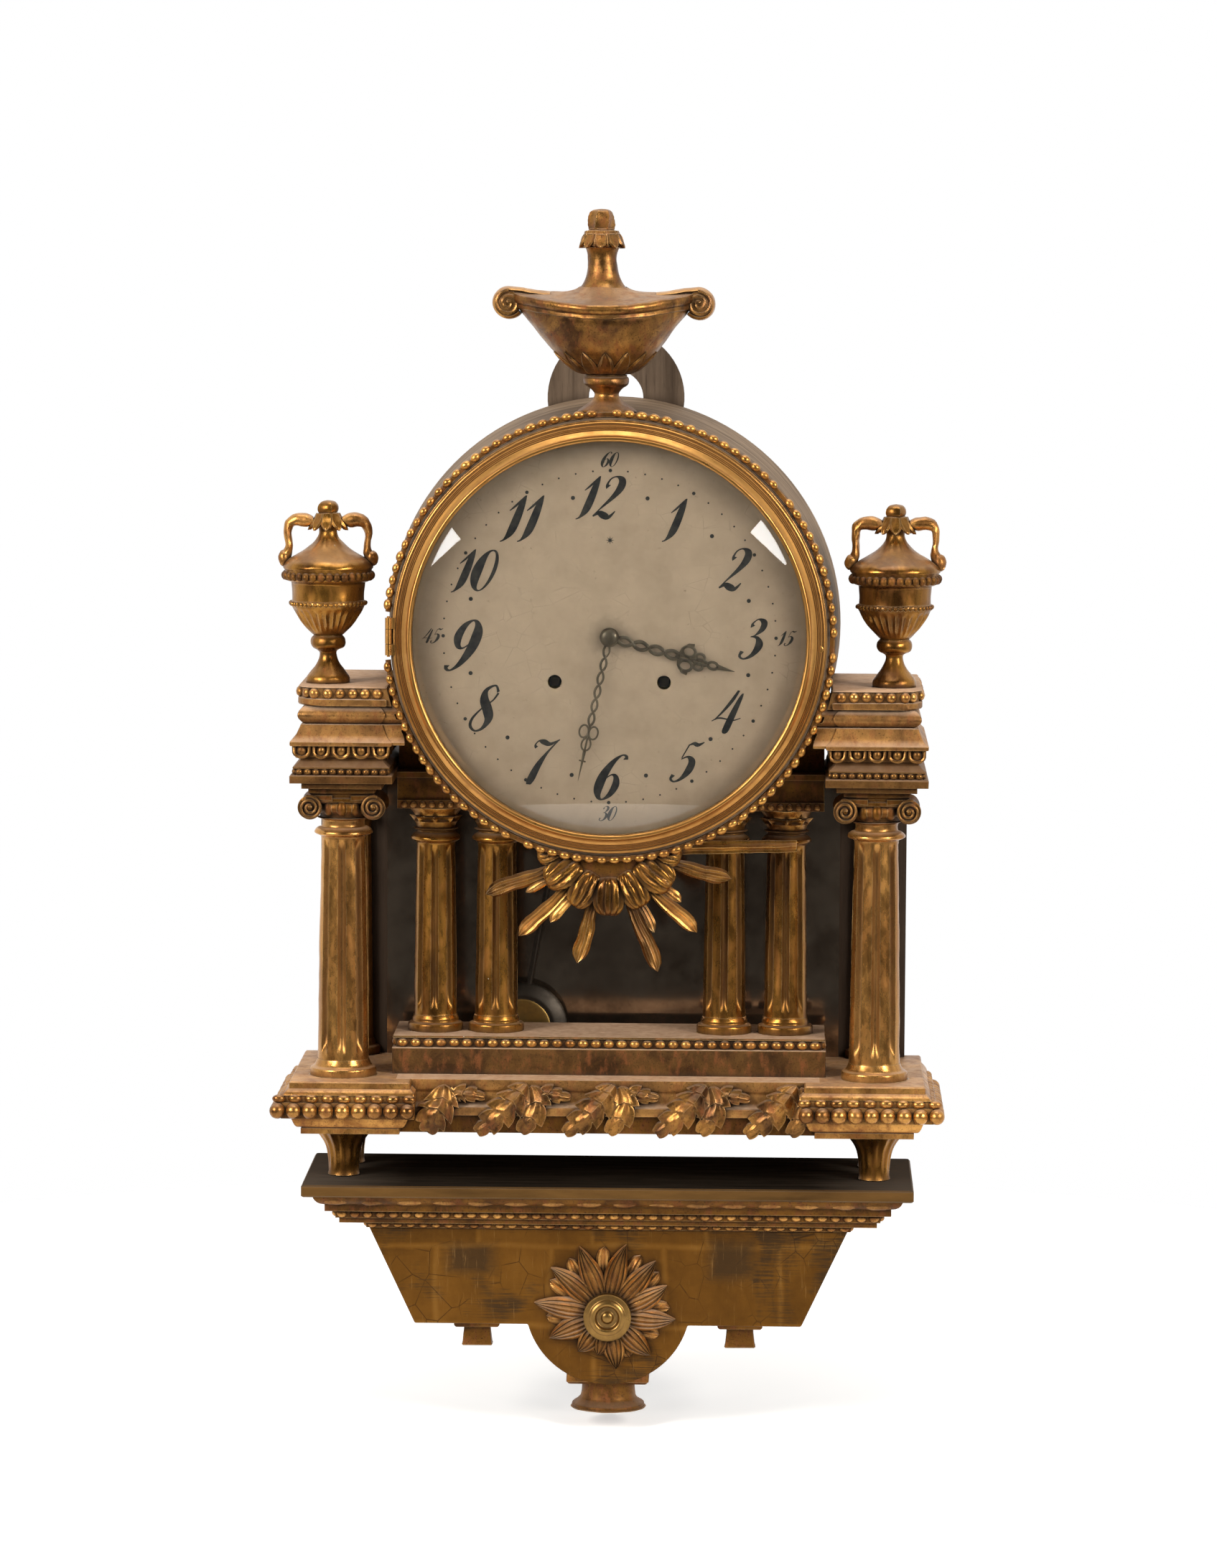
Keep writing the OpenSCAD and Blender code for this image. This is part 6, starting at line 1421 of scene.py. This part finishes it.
made = Shape()
for hour, (x, z, height) in enumerate(HOURS, 1):
    write(made, str(hour), x, DRUM_Z + z, height)
    dot(made, 5 * hour + 2.5, DOT_R, 1.35)
for minute in range(60):
    dot(made, minute, RAIL_R, 0.6 if minute % 5 else 1.15)
for minute in (15, 30, 45, 60):
    write(made, str(minute), *on_dial(minute, MINUTE_R), MINUTE_H)
star = [(r * sin(t), DRUM_Z + STAR_R + r * cos(t))
        for r, t in zip((2.9, 0.9) * STAR_POINTS, turns(2 * STAR_POINTS))]
made.sheet(star, INK_BACK, INK_FRONT).piece("dial_numbers", INK, "dial_paint", angle=20)

# Hands of open links, drawn along each hand's turn from the top of the dial
HOUR_TURN, MINUTE_TURN, HOUR_L, MINUTE_L, TAPER = 105, 192, 83, 94, 0.9


class Hand(Shape):
    """Wires laid along a hand: places are the distance from the dial's centre and the offset to one side."""

    def __init__(self, turn, node, hub_r):
        super().__init__()
        span = Span(node)
        self.turn = radians(turn)
        self.mid, self.thick = (span.back + span.front) / 2, (span.front - span.back) / 2
        low, high = self.mid - self.thick, self.mid + self.thick
        self.disc([(0, low), (hub_r, low), (hub_r, high), (0, high)], DIAL_AT, 32)

    def wire(self, places, width, taper=0):
        s, c = sin(self.turn), cos(self.turn)
        path = [(r * s + k * c, self.mid, DRUM_Z + r * c - k * s) for r, k in places]
        self.tube(path, 10, lambda i: (width * (1 - taper * i / (len(path) - 1)), self.thick))

    def links(self, start, stop, count, half, width):
        for side in SIDES:
            self.wire([(start + (stop - start) * t, side * half * abs(sin(pi * count * t)) ** 0.8)
                       for t in shares(count * 10)], width)

    def loop(self, at, offset, length, half, width):
        self.wire([(at + length * cos(tau * t), offset + half * sin(tau * t)) for t in shares(24)], width)

    def point(self, start, stop, width):
        self.wire([(start + (stop - start) * t, 0) for t in shares(8)], width, TAPER)


hand = Hand(HOUR_TURN, "hour_hand", 6.2)
hand.links(5, 47, 4, 2.5, 1.2)
hand.links(44, 66, 2, 1.5, 1)
for side in SIDES:
    hand.loop(51.5, 4.6 * side, 4.2, 3.4, 1)
    hand.loop(59.5, 3 * side, 2.8, 2.2, 0.9)
    hand.wire([(46, 0.6 * side), (47, 5.4 * side), (50.5, 9 * side), (54, 9.6 * side)], 0.9)
hand.loop(68.5, 0, 3.2, 2.2, 0.9)
hand.point(71, HOUR_L, 1.8)
hand.piece("hour_links", BRONZE, "hand_bronze", ("hour_hand",), "hour_work")

hand = Hand(MINUTE_TURN, "minute_hand", 5.2)
hand.links(4, 58, 6, 1.8, 0.75)
for at, offset in ((62, -3.1), (62, 3.1), (70, 0)):
    hand.loop(at, offset, 4.1, 2.9, 0.6)
hand.wire([(57, 0), (66, 0), (75, 0)], 0.6)
hand.wire([(81, -2.2), (81, 2.2)], 0.5)
hand.point(74, MINUTE_L, 1.1)
hand.piece("minute_links", BRONZE, "hand_bronze", ("minute_hand",), "minute_work")

nut = Span("hand_nut")
NUT = spline([(0, nut.back), (5.6, nut.back), (5.6, nut.back), (5.8, nut.back + 0.8), (5, nut.front - 1),
              (3, nut.front - 0.2), (0, nut.front)], 3)
Shape().disc(NUT, DIAL_AT, 40).piece("hand_button", BRONZE, "hand_bronze", ("hand_nut",), "minute_work")

# The pendulum bob: a dark disc with a brass face
bob = Span("pendulum_bob")
BOB_AT, BOB_R = ((bob.x0 + bob.x1) / 2, 0, (bob.z0 + bob.z1) / 2), (bob.z1 - bob.z0) / 2
bob_mid = (bob.back + bob.front) / 2
DISC = spline([(0, bob.back), (18, bob.back), (18, bob.back), (BOB_R - 0.6, bob_mid - 1.6), (BOB_R, bob_mid),
               (BOB_R - 0.6, bob_mid + 1.6), (23, bob.front - 1.4), (20.5, bob.front - 1.2),
               (20.5, bob.front - 1.2), (0, bob.front - 1.2)], 3)
FACE = spline([(r, bob.front - h) for r, h in ((19.5, 1.6), (19.5, 0.9), (18.4, 0.3), (10, 0.05), (0, 0))], 4)
Shape().disc(DISC, BOB_AT, 72).piece("bob_disc", IRON, "bob_brass", ("pendulum_bob",), "pendulum")
Shape().disc(FACE, BOB_AT, 60).piece("bob_face", BOB, "bob_brass", (), "pendulum")

# The stage: a pale floor under the bracket, a white surround, soft lamps and the camera
CAMERA_TARGET = Vector((0, -0.136, 0.315))
CAMERA_AZIMUTH, CAMERA_RISE, CAMERA_ROLL = radians(1.6), radians(6), radians(0.3)
CAMERA_DISTANCE, LENS, FILM_WIDTH = 3.9, 139.7, 36
FLOOR_GAP, FLOOR_R, FLOOR_SIDES = 0.012, 0.9, 64
WORLD_LIGHT, ROOM_LEVEL, FLOOR_WHITE = 0.27, 0.06, 0.45


def larger(tree, a, b):
    node = tree.nodes.new("ShaderNodeMath")
    node.operation = "MAXIMUM"
    tree.links.new(a, node.inputs[0])
    tree.links.new(b, node.inputs[1])
    return node.outputs[0]


def room(tree, coordinates):
    """Level of the mirrored surround by direction: white behind the clock and a dimmer room before it."""
    split = tree.nodes.new("ShaderNodeSeparateXYZ")
    tree.links.new(tree.nodes.new("ShaderNodeTexCoord").outputs[coordinates], split.inputs["Vector"])
    level = tree.nodes.new("ShaderNodeMapRange")
    tree.links.new(split.outputs["Y"], level.inputs["Value"])
    for socket, value in (("From Min", -0.35), ("From Max", 0.05), ("To Min", ROOM_LEVEL), ("To Max", 1)):
        level.inputs[socket].default_value = value
    path = tree.nodes.new("ShaderNodeLightPath").outputs
    return larger(tree, level.outputs["Result"], path["Is Camera Ray"])


def surround(tree, light, coordinates, strength):
    """Lights strength as the room where it is seen or mirrored, and a plain level for everything else."""
    path = tree.nodes.new("ShaderNodeLightPath").outputs
    seen = larger(tree, path["Is Camera Ray"], path["Is Glossy Ray"])
    blend = tree.nodes.new("ShaderNodeMix")
    tree.links.new(larger(tree, seen, path["Is Transmission Ray"]), blend.inputs[0])
    blend.inputs[2].default_value = light
    tree.links.new(room(tree, coordinates), blend.inputs[3])
    tree.links.new(blend.outputs[0], strength)


scene = bpy.context.scene
world = bpy.data.worlds.new("studio")
scene.world = world
world.use_nodes = True
sky = world.node_tree.nodes["Background"].inputs
sky["Color"].default_value = (1, 1, 1, 1)
surround(world.node_tree, WORLD_LIGHT, "Generated", sky["Strength"])

floor_z = cad_box[0].z - FLOOR_GAP
floor_mesh = bpy.data.meshes.new("floor")
floor_mesh.from_pydata([(FLOOR_R * cos(t), FLOOR_R * sin(t), floor_z) for t in turns(FLOOR_SIDES)], [],
                       [tuple(range(FLOOR_SIDES))])
floor = bpy.data.objects.new("floor", floor_mesh)
scene.collection.objects.link(floor)
pale = bpy.data.materials.new("floor_pale")
pale.use_nodes = True
ground = pale.node_tree.nodes["Principled BSDF"].inputs
ground["Base Color"].default_value = (0.86, 0.86, 0.86, 1)
ground["Roughness"].default_value = 0.9
ground["Specular IOR Level"].default_value = 0
ground["Emission Color"].default_value = (FLOOR_WHITE, FLOOR_WHITE, FLOOR_WHITE, 1)
surround(pale.node_tree, 0, "Object", ground["Emission Strength"])
floor_mesh.materials.append(pale)

AIM = Vector((0, -0.08, 0.3))
WARM, COOL = (1, 0.95, 0.88), (1, 0.98, 0.96)
# Name, place, width and height, power, colour and roll in degrees
LAMPS = (("key_left", (-1.9, -1.8, 1.3), (0.8, 1.2), 68, WARM, 0),
         ("key_right", (1.9, -1.7, 1.2), (0.7, 1.1), 55, WARM, 0),
         ("top", (0, -0.5, 2.4), (1.6, 1), 18, (1, 0.97, 0.93), 0),
         ("window_left", (-1.79, -3.2, 1.06), (0.45, 0.45), 9, COOL, 45),
         ("window_right", (1.5, -3.2, 1.13), (0.45, 0.45), 9, COOL, 45))


def aim(obj, place, way, roll):
    """Puts a lamp or the camera in its place, looking along a way."""
    obj.location = place
    obj.rotation_mode = "QUATERNION"
    obj.rotation_quaternion = way.to_track_quat("-Z", "Y") @ Quaternion((0, 0, 1), roll)
    scene.collection.objects.link(obj)


for name, place, size, power, colour, roll in LAMPS:
    light = bpy.data.lights.new(name, "AREA")
    light.shape, (light.size, light.size_y) = "RECTANGLE", size
    light.energy, light.color = power, colour
    aim(bpy.data.objects.new(name, light), place, AIM - Vector(place), radians(roll))

lens = bpy.data.cameras.new("camera")
lens.lens, lens.sensor_width, lens.sensor_fit = LENS, FILM_WIDTH, "AUTO"
camera = bpy.data.objects.new("camera", lens)
away = Vector((sin(CAMERA_AZIMUTH) * cos(CAMERA_RISE), -cos(CAMERA_AZIMUTH) * cos(CAMERA_RISE),
               sin(CAMERA_RISE)))
aim(camera, CAMERA_TARGET + away * CAMERA_DISTANCE, -away, CAMERA_ROLL)
scene.camera = camera
scene.view_settings.view_transform = "Standard"
